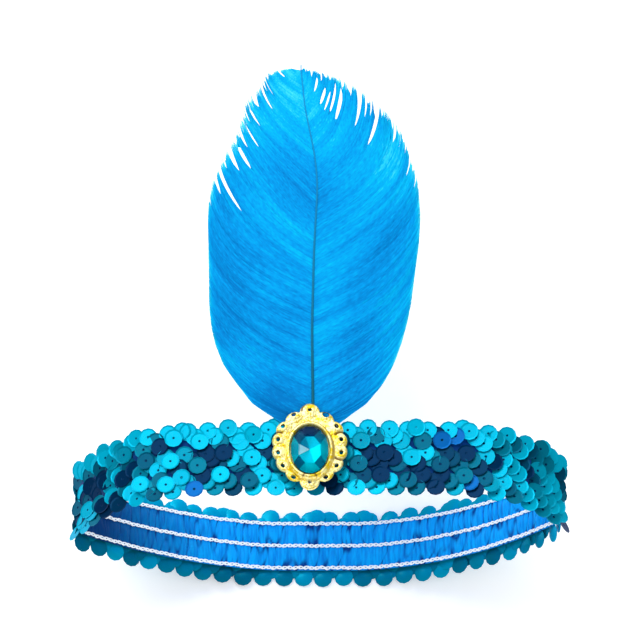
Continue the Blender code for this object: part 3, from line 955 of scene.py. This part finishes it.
def locked_barb(number, side, t):
    """The barb's point once its lock has drawn together."""
    edges = LOCK_EDGES[side]
    lock = min(int(np.searchsorted(edges, number, "right")), LOCKS_PER_SIDE) - 1
    low, high = edges[lock], edges[lock + 1]
    middle = (low + high) / 2.0
    from_middle = (number - middle) / (high - low) * 2.0
    openness = min(1.0, max(0.0, (number - RAGGED_FROM) / RAGGED_OVER))
    openness *= LEAST_OPEN + (1.0 - LEAST_OPEN) * math.sin(37.0 * middle + side) ** 2
    gathered = max(0.0, (t - LOCK_GATHERS_FROM) / 0.3) ** 1.3
    number += (middle - number) * LOCK_PULL * openness * gathered
    return barb_point(number, side, t * (1.0 - LOCK_SHORTER * openness * from_middle**2))


# %% Strips of a layer
def comb(strips, steps, edge_at):
    """Strips cut from one grid: edge_at(strip, edge, step) gives a corner's place and its tone."""
    bm = bmesh.new()
    tone = bm.verts.layers.float.new("tone")
    bm.loops.layers.uv.new("strip")
    columns = 2 * strips - 1
    bmesh.ops.create_grid(bm, x_segments=columns, y_segments=steps, size=1.0, calc_uvs=True)
    between = [f for f in bm.faces if int((f.calc_center_median().x + 1.0) / 2.0 * columns) % 2]
    bmesh.ops.delete(bm, geom=between, context="FACES")
    for vert in bm.verts:
        i = round((vert.co.x + 1.0) / 2.0 * columns)
        j = round((vert.co.y + 1.0) / 2.0 * steps)
        vert.co, vert[tone] = edge_at(i // 2, i % 2, j)
    return bm


# %% Layers of barbs
# What makes up a barb's tone: an even part, streaks, fine lines, its own shade, broad patches, its
# height up the vane and its rim, painted pale as light shows through the thin ends
EVEN_TONE = 0.52
STREAK_TONE = 0.26
LINE_TONE = 0.17
OWN_TONE = 0.09
PATCH_TONE = 0.45
HEIGHT_TONE = 0.45
RIM_TONE = 0.7
STREAKS = 45.0
LINES = 150.0
PATCH_SIZE = 22.0 * MM
LEFT_CONTRAST = 1.3
# The shares of a barb from which, and over which, its rim is painted pale, as light shows through the thin
# ends
PALE_FROM = 0.9
PALE_OVER = 0.08
BARB_TILT = 0.04 * MM
BARB_STRAY = 0.03 * MM
BARB_SHIFT = 0.35
BARB_TAPER = 0.8


def barb_layer(count, steps, overlap, lift, start, reach, wander, seed):
    """A layer of barbs on both sides of the quill, each a strip that narrows to its tip."""
    draw = Random(seed)
    jitter = [[draw.uniform(-1.0, 1.0) for _ in range(4)] for _ in range(2 * count)]

    def edge_at(strip, edge, step):
        side = -1 if strip < count else 1
        order = strip % count
        shift, longer, shade, tilt = jitter[strip]
        number = min(0.998, max(0.001, (order + 0.5 + BARB_SHIFT * shift) / count))
        t = start + (reach + wander * longer - start) * step / steps
        ragged = min(1.0, max(0.2, (number - RAGGED_FROM) / 0.25))
        taper = 1.0 - (step / steps) ** 5 * BARB_TAPER * ragged
        across = min(0.999, max(0.0, number + overlap / count * taper * (edge - 0.5)))
        point = locked_barb(clear_of_slits(across, number, side, t), side, t)
        streak = noise.noise(Vector((number * STREAKS, side * 5.0, t * 1.5)))
        line = noise.noise(Vector((number * LINES, side * 9.0, t * 2.0)))
        patch = noise.noise(Vector((point.x, point.y * 0.6, 0.0)) / PATCH_SIZE + Vector((3.1, 1.7, 0.0)))
        height = (point.y / PLUME_LENGTH - 0.5) * (LEFT_CONTRAST if side < 0 else 1.0)
        rim = max(0.0, t - PALE_FROM) / PALE_OVER
        point.z += lift + BARB_TILT * tilt * (1 if edge else -1) + BARB_STRAY * shade
        tone = EVEN_TONE + STREAK_TONE * streak + LINE_TONE * line + OWN_TONE * shade
        return point, tone + PATCH_TONE * patch + HEIGHT_TONE * height + RIM_TONE * rim

    return comb(2 * count, steps, edge_at)


# %% [markdown]
# Ostrich barbs are keratin, dyed with an acid dye that takes deeper in some locks than in others.
# They are soft and matt with a silky sheen along them, and painted paler at the edge, as light shows
# through where they thin out.

# %% Plume finish
barbs, tree, shader = new_material(
    "dyed_ostrich_barbs", Roughness=0.7, Sheen_Weight=0.01, Specular_IOR_Level=0.03
)
tone = add_node(tree, "Attribute", attribute_name="tone")
strip = add_node(tree, "TexCoord")
# Barbules stand 0.3 mm apart on a barb, drawn 2 to 3 mm long and a barb wide so that they show
barbule_at = add_node(tree, "Mapping", {"Vector": strip.outputs["UV"], "Scale": (900.0, 22.0, 1.0)})
barbules = add_node(tree, "TexNoise", {"Vector": barbule_at.outputs[0], "Scale": 1.0, "Detail": 1.0})
swirled = add_node(
    tree,
    "MapRange",
    {"Value": barbules.outputs["Fac"], "From Min": 0.25, "From Max": 0.75, "To Min": -0.22, "To Max": 0.22},
)
shade = add_node(tree, "Math", {0: tone.outputs["Fac"], 1: swirled.outputs[0]}, operation="ADD")
azure = colour_by_tone(
    tree,
    shade.outputs[0],
    "#0070B8",
    (0.1, 0.5, "#008ED6"),
    (0.5, 1.0, "#00B2E4"),
    (0.95, 1.5, "#48D6F4"),
)
tree.links.new(azure, shader.inputs["Base Color"])

# %% Plume pieces
MEDALLION_X = -3.7 * MM
MEDALLION_Y = 0.1 * MM
CROWN_HEIGHT = 3.2 * MM
GAP = 0.3 * MM
PLUME_FOOT_X = -2.3 * MM
PLUME_FOOT_Y = 13.8 * MM
QUILL_RADIUS = 0.95 * MM

front = share_where(MEDALLION_X, front=True)
crown = on_loop(front, MEDALLION_Y, CROWN_HEIGHT + GAP)
plume_foot = Matrix.Translation((PLUME_FOOT_X, PLUME_FOOT_Y, crown.z + QUILL_RADIUS))

# Each layer: strips a side, steps along one, width in strips, lift, the shares of a barb at which it
# starts and ends, the stray of its ends, the seed of its draws; then its thickness and what it stands for
PLUME_LAYERS = {
    "plume_barbs": ((460, 16, 2.2, 0.20 * MM, 0.0, 0.985, 0.015, 11), 0.08 * MM, ["feather"]),
    "plume_undercoat": ((150, 14, 2.0, -0.25 * MM, 0.0, 0.96, 0.02, 12), 0.1 * MM, ()),
    "plume_edge_hairs": ((300, 5, 0.5, 0.05 * MM, 0.82, 1.02, 0.025, 13), 0.06 * MM, ()),
}
for name, (shape, thickness, solid) in PLUME_LAYERS.items():
    layer = barb_layer(*shape)
    bmesh.ops.solidify(layer, geom=layer.faces[:], thickness=thickness)
    bmesh.ops.transform(layer, matrix=plume_foot, verts=layer.verts)
    bmesh.ops.recalc_face_normals(layer, faces=layer.faces)
    add_piece(name, layer, barbs, solid, sharp_over=80.0)

# %% [markdown]
# The quill is a horny tube that tapers to a hair. It took the dye darker than the barbs did, so it
# reads as one thin teal line up the vane.

# %% Quill
QUILL_THICK = 0.6 * MM
QUILL_THIN = 0.22 * MM
QUILL_BARE_TIP = 2.2 * MM
QUILL_STEPS = 70
QUILL_SIDES = 8
QUILL_ABOVE_BARBS = 0.35 * MM
THINS_FASTER_BY = 1.15


def place_on_quill(i, j):
    """A corner of the tube's grid."""
    share = i / QUILL_STEPS
    along = -QUILL_TUCKED + (PLUME_LENGTH + QUILL_BARE_TIP + QUILL_TUCKED) * share
    angle = 2.0 * math.pi * (j % QUILL_SIDES) / QUILL_SIDES
    radius = QUILL_THICK + (QUILL_THIN - QUILL_THICK) * min(1.0, share * THINS_FASTER_BY)
    x = quill_drift(max(along, 0.0) / MM) * MM
    height = plume_height(along) + QUILL_ABOVE_BARBS + radius * math.sin(angle)
    return Vector((x + radius * math.cos(angle), along, height))


horn, tree, shader = new_material("dyed_quill_horn", Roughness=0.5, Specular_IOR_Level=0.15)
horn_at = add_node(tree, "TexCoord")
up_the_quill = add_node(tree, "SeparateXYZ", {"Vector": horn_at.outputs["Object"]})
teal = colour_by_tone(tree, up_the_quill.outputs["Y"], "#005A70", (30.0 * MM, 170.0 * MM, "#008CC8"))
tree.links.new(teal, shader.inputs["Base Color"])
quill = shaped_grid(QUILL_STEPS, QUILL_SIDES, place_on_quill)
bmesh.ops.holes_fill(quill, edges=[edge for edge in quill.edges if edge.is_boundary], sides=0)
bmesh.ops.transform(quill, matrix=plume_foot, verts=quill.verts)
bmesh.ops.recalc_face_normals(quill, faces=quill.faces)
add_piece("plume_quill", quill, horn)

# %% [markdown]
# ## The gilt setting
#
# The setting is one plastic moulding, vacuum-plated in gold: an oval plate of fourteen shallow petals,
# each pierced, round a smooth raised bezel. The top and the bottom petal stand out. Its upper side is a
# grid of rings, from the seat of the stone out to the scalloped edge and back underneath, and the
# petals' domes, rims and seams are in the height of its rings.

# %% Setting sizes
LOBES = 14
LOBE_RADIUS = 4.2 * MM
LOBE_OVAL = (10.9 * MM, 12.7 * MM)
END_LOBE_RADIUS = 4.0 * MM
END_LOBE_REACH = 14.9 * MM
LOBE_HOLE_RADIUS = 1.0 * MM
LOBE_HOLE_OVAL = (12.7 * MM, 15.8 * MM)
LOBES_ABOVE_BEZEL = 2.4 * MM
LOBE_SPREAD = 0.098
BEZEL_OUTSIDE = (9.6 * MM, 12.6 * MM)
BEZEL_INSIDE = (7.9 * MM, 10.8 * MM)
PLATE_THICKNESS = 1.5 * MM
LOBE_RELIEF = 1.1 * MM
BEZEL_HEIGHT = 4.2 * MM
SEAT_HEIGHT = 0.8 * MM
BEZEL_FOOT = 0.5 * MM
PAD_THICKNESS = 2.5 * MM
STEPS_PER_LOBE = 26
# Rings of the grid over the seat and the bezel, over the petals, and back underneath
BEZEL_RINGS = 10
PETAL_RINGS = 22
UNDER_RINGS = 3
SETTING_RINGS = BEZEL_RINGS + PETAL_RINGS + UNDER_RINGS

seat = Matrix.Translation((MEDALLION_X, MEDALLION_Y, crown.z + PAD_THICKNESS + GAP))


# %% Outline of the setting
def oval_reach(oval, angle):
    """Distance from the middle of an oval to its edge, in a direction."""
    return 1.0 / math.hypot(math.cos(angle) / oval[0], math.sin(angle) / oval[1])


def round_the_plate(oval, turn):
    """A point on an oval about the middle of the lobed plate, which lies above the bezel's."""
    return Vector((oval[0] * math.cos(turn), oval[1] * math.sin(turn) + LOBES_ABOVE_BEZEL, 0.0))


even_turns = [2.0 * math.pi * k / LOBES for k in range(LOBES)]
lobe_turns = [turn + LOBE_SPREAD * math.sin(2.0 * turn) + math.pi / 2.0 for turn in even_turns]
lobes = [(round_the_plate(LOBE_OVAL, turn), LOBE_RADIUS) for turn in lobe_turns]
for end in (0, LOBES // 2):
    lobes[end] = (round_the_plate((END_LOBE_REACH, END_LOBE_REACH), lobe_turns[end]), END_LOBE_RADIUS)
hole_middles = [round_the_plate(LOBE_HOLE_OVAL, turn) for turn in lobe_turns]
print("petals:", len(lobes))


def lobed_reach(angle):
    """Distance from the middle of the setting to its scalloped edge, in a direction."""
    ray = Vector((math.cos(angle), math.sin(angle), 0.0))
    reaches = [oval_reach(BEZEL_OUTSIDE, angle) + BEZEL_FOOT]
    for middle, radius in lobes:
        ahead = middle.dot(ray)
        aside = (middle - ray * ahead).length
        if ahead > 0.0 and aside < radius:
            reaches.append(ahead + math.sqrt(radius**2 - aside**2))
    return max(reaches)


# %% Relief of the petals
PETAL_RADIUS = 3.2 * MM
SEAM_WIDTH = 0.4 * MM
SEAM_DEPTH = 0.4 * MM
SEAM_FADES_OVER = 15.0
# Painted shade: a dark line round the bezel, this far out from the stone and strongest towards this direction
BEZEL_LINE = 1.55 * MM
BEZEL_LINE_FACES = math.radians(65.0)
# Painted shade on the plate's side and underside, below this height
EDGE_IN_SHADE = 0.6 * MM
# The rim round a hole, the dome of a petal, and the cast grain
RIM_RADIUS = 1.5 * MM
RIM_WIDTH = 0.4 * MM
DOME_RADIUS = 3.9 * MM
DOME_SHARE = 0.28
RIM_SHARE = 0.12
CAST_DEPTH = 0.14 * MM
CAST_COARSE = 0.8 * MM
CAST_FINE = 0.4 * MM
# Arcs where one petal lies over the plate: the hole they run round, and from where to where in degrees
SEAMS = ((3, 45.0, 130.0), (11, 50.0, 150.0), (10, 210.0, 325.0), (7, 20.0, 160.0), (0, 110.0, 200.0))


def seam_at(flat):
    """How much a place lies in a seam, 0 to 1, for depth and painted shade: petal arcs, and a bezel line."""
    deepest = 0.0
    for hole, start, end in SEAMS:
        away = flat - hole_middles[hole]
        bearing = math.degrees(math.atan2(away.y, away.x)) % 360.0
        if start < bearing < end:
            ends = min(1.0, min(bearing - start, end - bearing) / SEAM_FADES_OVER)
            deepest = max(deepest, ends * math.exp(-(((away.length - PETAL_RADIUS) / SEAM_WIDTH) ** 2)))
    angle = math.atan2(flat.y, flat.x)
    from_stone = flat.length - oval_reach(BEZEL_INSIDE, angle)
    upper_right = max(0.0, math.cos(angle - BEZEL_LINE_FACES) + 0.1)
    line = math.exp(-(((from_stone - BEZEL_LINE) / (0.8 * SEAM_WIDTH)) ** 2))
    return max(deepest, 0.9 * line * min(1.0, 2.0 * upper_right))


def petal_relief(x, y):
    """The height of the plate's surface: a low dome on each petal, a rim round its hole, and the seams."""
    flat = Vector((x, y, 0.0))
    nearest = min((hole - flat).length for hole in hole_middles)
    rim = math.exp(-(((nearest - RIM_RADIUS) / RIM_WIDTH) ** 2))
    dome = max(0.0, 1.0 - (nearest / DOME_RADIUS) ** 2)
    cast = noise.noise(flat / CAST_COARSE) + 0.6 * noise.noise(flat / CAST_FINE)
    relief = DOME_SHARE * dome + RIM_SHARE * rim
    return LOBE_RELIEF * relief - SEAM_DEPTH * seam_at(flat) + CAST_DEPTH * cast


# %% Section of the setting
# How far the bezel's foot spreads, and the height at which the petals' rounded edge starts
BEZEL_SPREAD = 0.3 * MM
PETAL_FOOT = 0.7 * MM


def place_on_setting(i, j):
    """A corner of the setting's grid: i runs round, j from the seat out over the petals and under."""
    angle = 2.0 * math.pi * (i % (LOBES * STEPS_PER_LOBE)) / (LOBES * STEPS_PER_LOBE) + math.pi / 2.0
    outside = oval_reach(BEZEL_OUTSIDE, angle)
    inside = oval_reach(BEZEL_INSIDE, angle)
    edge = lobed_reach(angle)
    crest = (inside + outside) / 2.0
    bezel = (
        (0.0, SEAT_HEIGHT),
        (inside, SEAT_HEIGHT),
        (inside, BEZEL_HEIGHT - 0.9 * MM),
        (inside + 0.15 * MM, BEZEL_HEIGHT - 0.35 * MM),
        (crest - 0.35 * MM, BEZEL_HEIGHT - 0.02 * MM),
        (crest + 0.05 * MM, BEZEL_HEIGHT),
        (crest + 0.45 * MM, BEZEL_HEIGHT - 0.2 * MM),
        (outside - 0.15 * MM, BEZEL_HEIGHT - 0.7 * MM),
        (outside + 0.1 * MM, BEZEL_HEIGHT - 1.5 * MM),
        (outside + BEZEL_SPREAD, PLATE_THICKNESS + 0.35 * MM),
    )
    under = ((edge - 0.05 * MM, 0.45 * MM), (edge - 0.35 * MM, 0.0), (0.0, 0.0))
    if j < BEZEL_RINGS:
        reach, height = bezel[j]
    elif j < BEZEL_RINGS + PETAL_RINGS:
        share = (j - BEZEL_RINGS + 1) / PETAL_RINGS
        start = outside + BEZEL_SPREAD
        reach = start + (edge - start) * share
        rounded = math.sqrt(max(0.0, 1.0 - max(0.0, (share - 0.8) / 0.2) ** 2))
        relief = petal_relief(reach * math.cos(angle), reach * math.sin(angle))
        height = PETAL_FOOT + (PLATE_THICKNESS - PETAL_FOOT + relief) * rounded
    else:
        reach, height = under[j - BEZEL_RINGS - PETAL_RINGS]
    return Vector((reach * math.cos(angle), reach * math.sin(angle), height))


# %% Setting shape
# The hole at the upper right came out of the mould larger, and those at the two ends smaller
HOLE_SIZES = {0: 0.8, LOBES // 2: 0.75, LOBES - 1: 1.4}
USUAL_HOLE_SIZE = 0.95
PEG_LENGTH = 12.0 * MM


def lobe_hole_cutters():
    """Fourteen pegs, one through each petal, some a little oval."""
    bm = bmesh.new()
    for k, (middle, angle) in enumerate(zip(hole_middles, lobe_turns)):
        size = HOLE_SIZES.get(k, USUAL_HOLE_SIZE)
        turned = Matrix.Translation(middle) @ Matrix.Rotation(angle, 4, "Z")
        shape = Matrix.Diagonal((0.9 * size, 1.1 * size, 1.0, 1.0))
        bmesh.ops.create_cone(
            bm,
            cap_ends=True,
            segments=16,
            radius1=LOBE_HOLE_RADIUS,
            radius2=LOBE_HOLE_RADIUS,
            depth=PEG_LENGTH,
            matrix=turned @ shape,
        )
    return as_mesh("lobe_hole_cutters", bm)


def pierced(bm, cutter_mesh):
    """The bmesh with the cutter taken out of it, by a Boolean that is applied at once."""
    solid = bpy.data.objects.new("unpierced", as_mesh("unpierced", bm))
    cutter = bpy.data.objects.new("cutter", cutter_mesh)
    scene.collection.objects.link(solid)
    scene.collection.objects.link(cutter)
    cut = solid.modifiers.new("pierce", "BOOLEAN")
    cut.object = cutter
    cut.operation = "DIFFERENCE"
    bpy.context.view_layer.update()
    result = bmesh.new()
    result.from_object(solid, bpy.context.evaluated_depsgraph_get())
    for helper in (solid, cutter):
        bpy.data.objects.remove(helper, do_unlink=True)
    return result


plate = shaped_grid(LOBES * STEPS_PER_LOBE, SETTING_RINGS - 1, place_on_setting)
setting = pierced(plate, lobe_hole_cutters())
# Painted shade: dark in the seams, along the bezel's line, and on the plate's side and underside
seam_shade = setting.verts.layers.float.new("seam_shade")
for vert in setting.verts:
    on_side = 1.0 if vert.co.z < EDGE_IN_SHADE else 0.0
    vert[seam_shade] = max(on_side, seam_at(Vector((vert.co.x, vert.co.y, 0.0))))
bmesh.ops.transform(setting, matrix=seat, verts=setting.verts)
print("pierced setting:", len(setting.faces), "faces")

# %% [markdown]
# The moulding is plated with a thin bright gold under a clear varnish. It is pale where the plating
# shines and yellower where the varnish lies thick. Its seams, a line on the bezel and the plate's side
# are painted brown, as painted shade.

# %% Setting finish
gilt, tree, shader = new_material("vacuum_plated_gold", Metallic=0.6, Roughness=0.3)
gilt_at = add_node(tree, "TexCoord")
# The moulding's grain is 0.4 mm coarse, drawn at 0.7 mm so that it shows; the varnish varies over 3 mm
grain, varnish = (
    add_node(tree, "TexNoise", {"Vector": gilt_at.outputs["Object"], "Scale": 1.0 / size, "Detail": detail})
    for size, detail in ((0.7 * MM, 3.0), (3.0 * MM, 1.0))
)
patchy = add_node(tree, "Math", {0: grain.outputs["Fac"], 1: varnish.outputs["Fac"]}, operation="ADD")
golden = colour_by_tone(tree, patchy.outputs[0], "#ECCA0C", (0.84, 1.12, "#FFF6B0"))
# Painted shade: brown in the seams, on the bezel's line and on the plate's side
shade_in_seams = add_node(tree, "Attribute", attribute_name="seam_shade")
shaded_seams = colour_by_tone(tree, shade_in_seams.outputs["Fac"], golden, (0.0, 1.0, "#6E3C04"))
cast_grain = add_node(tree, "Bump", {"Height": grain.outputs["Fac"], "Strength": 0.45, "Distance": 0.25 * MM})
tree.links.new(shaded_seams, shader.inputs["Base Color"])
tree.links.new(cast_grain.outputs[0], shader.inputs["Normal"])
add_piece("gilt_setting", setting, gilt, ["medallion_frame"], sharp_over=35.0)

# %% [markdown]
# ## The aqua stone
#
# The stone is moulded acrylic with foiled facets underneath. Two pieces give it depth: a clear aqua
# crown with a table and two rows of facets, and under it the pavilion, a shallow cone of facets that
# each send back another part of the room. Each pavilion facet carries a tone, a painted reflection of
# that part, with a painted glint on one. Both are hulls of rings of corners, because a hull of points
# is flat between them, as a cut face is.

# %% Stone shape
GEM_HALF_SIZE = (7.6 * MM, 10.5 * MM)
GEM_SIDES = 16
GEM_FOOT_SHARE = 0.72
FLAT_WITHIN = math.radians(0.5)
# Share of the stone's size, height, how many corners, and their turn as a share of a facet
CROWN_LEVELS = (
    (GEM_FOOT_SHARE, 0.9 * MM, GEM_SIDES, 0.0),
    (1.0, 1.9 * MM, GEM_SIDES, 0.5),
    (1.0, 2.6 * MM, GEM_SIDES, 0.5),
    (0.84, 3.6 * MM, GEM_SIDES, 0.0),
    (0.58, 4.3 * MM, GEM_SIDES, 0.5),
)
gem_seat = seat @ Matrix.Translation((0.0, 0.0, SEAT_HEIGHT + GAP))


def hull_of_rings(levels):
    """The hull of level rings of corners on the stone's oval."""
    bm = bmesh.new()
    for share, height, sides, turned in levels:
        placed = Matrix.Translation((0.0, 0.0, height)) @ Matrix.Diagonal((*GEM_HALF_SIZE, 1.0, 1.0))
        placed @= Matrix.Rotation(2.0 * math.pi * turned / sides, 4, "Z")
        bmesh.ops.create_circle(bm, segments=sides, radius=share, matrix=placed)
    bmesh.ops.delete(bm, geom=bm.edges[:], context="EDGES_FACES")
    bmesh.ops.convex_hull(bm, input=bm.verts)
    return bm


stone = hull_of_rings(CROWN_LEVELS)
bmesh.ops.dissolve_limit(stone, angle_limit=FLAT_WITHIN, verts=stone.verts[:], edges=stone.edges[:])
bmesh.ops.recalc_face_normals(stone, faces=stone.faces)
bmesh.ops.transform(stone, matrix=gem_seat, verts=stone.verts)

# The crown is cast clear in a polished mould: it bends what lies under it and hardly mirrors the room
acrylic, tree, shader = new_material(
    "clear_aqua_acrylic",
    Base_Color="#D0F8FF",
    Roughness=0.03,
    IOR=1.49,
    Transmission_Weight=1.0,
    Specular_IOR_Level=0.1,
    Specular_Tint="#1874C0",
)
add_piece("aqua_stone", stone, acrylic, ["gem_stone"], sharp_over=2.0)

# %% Foiled facets
# As the crown's levels, from the rim down to the point
FOIL_LEVELS = ((0.97, 2.05 * MM, 16, 0.5), (0.58, 1.25 * MM, 8, 0.5), (0.02, 0.95 * MM, 8, 0.0))
FOIL_THICKNESS = 0.05 * MM
# Painted reflection of each facet, by the direction it lies in, from the right and counter-clockwise;
# tones over 1 are a painted pale glint
OUTER_TONES = (0.7, 0.6, 0.2, 0.02, 0.0, 0.1, 0.9, 0.85, 0.7, 0.9, 0.15, 0.65, 0.8, 0.25, 0.65, 0.8)
INNER_TONES = (1.0, 0.5, 0.25, 1.3, 0.3, 0.6, 0.95, 1.0)
OUTER_RING_FROM = 0.5

foil = hull_of_rings(FOIL_LEVELS)
lid = [face for face in foil.faces if face.normal.z > 0.99]
bmesh.ops.delete(foil, geom=lid, context="FACES_ONLY")
bmesh.ops.dissolve_limit(foil, angle_limit=FLAT_WITHIN, verts=foil.verts[:], edges=foil.edges[:])
bmesh.ops.solidify(foil, geom=foil.faces[:], thickness=FOIL_THICKNESS)
facet_reflection_tone = foil.faces.layers.float.new("facet")
for face in foil.faces:
    middle = face.calc_center_median()
    out = Vector((middle.x / GEM_HALF_SIZE[0], middle.y / GEM_HALF_SIZE[1]))
    tones = OUTER_TONES if out.length > OUTER_RING_FROM else INNER_TONES
    turn_share = math.atan2(out.y, out.x) / (2.0 * math.pi) % 1.0
    face[facet_reflection_tone] = tones[int(turn_share * len(tones))]
bmesh.ops.transform(foil, matrix=gem_seat, verts=foil.verts)

# Blue lacquer over silver paint, with a painted reflection on each facet: dark where it looks away
# from the light, aqua where it meets it, and a painted pale glint
foiled, tree, shader = new_material(
    "blue_foiled_acrylic", Metallic=0.35, Roughness=0.25, Specular_IOR_Level=0.0
)
facet = add_node(tree, "Attribute", attribute_name="facet")
painted_facet_reflection = colour_by_tone(
    tree,
    facet.outputs["Fac"],
    "#00305E",
    (0.0, 0.4, "#00B0D2"),
    (0.4, 0.9, "#00F0FF"),
    (1.1, 1.3, "#D0F6FF"),
)
tree.links.new(painted_facet_reflection, shader.inputs["Base Color"])
add_piece("foiled_facets", foil, foiled, sharp_over=2.0)

# %% [markdown]
# ## The felt pad
#
# A small oval of wool felt lies between the sequins and the setting: it soaks up glue and keeps the hard
# plate off the discs. Nothing of it shows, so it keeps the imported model's mesh. Felt is fibres matted
# in hot water, which leaves it dull, with tufts a little darker and lighter than the rest.

# %% Pad finish
felt, tree, shader = new_material("pressed_wool_felt", Roughness=0.95, Sheen_Weight=0.4)
felt_at = add_node(tree, "TexCoord")
# Tufts of matted wool are about 0.6 mm across
tuft_scale = 1.0 / (0.6 * MM)
wool = add_node(tree, "TexNoise", {"Vector": felt_at.outputs["Object"], "Scale": tuft_scale, "Detail": 4.0})
matted = colour_by_tone(tree, wool.outputs["Fac"], "#00539C", (0.0, 1.0, "#0A7BD0"))
tree.links.new(matted, shader.inputs["Base Color"])
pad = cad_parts["glue_pad"]
pad.data.materials.clear()
pad.data.materials.append(felt)
print("glue_pad:", felt.name)
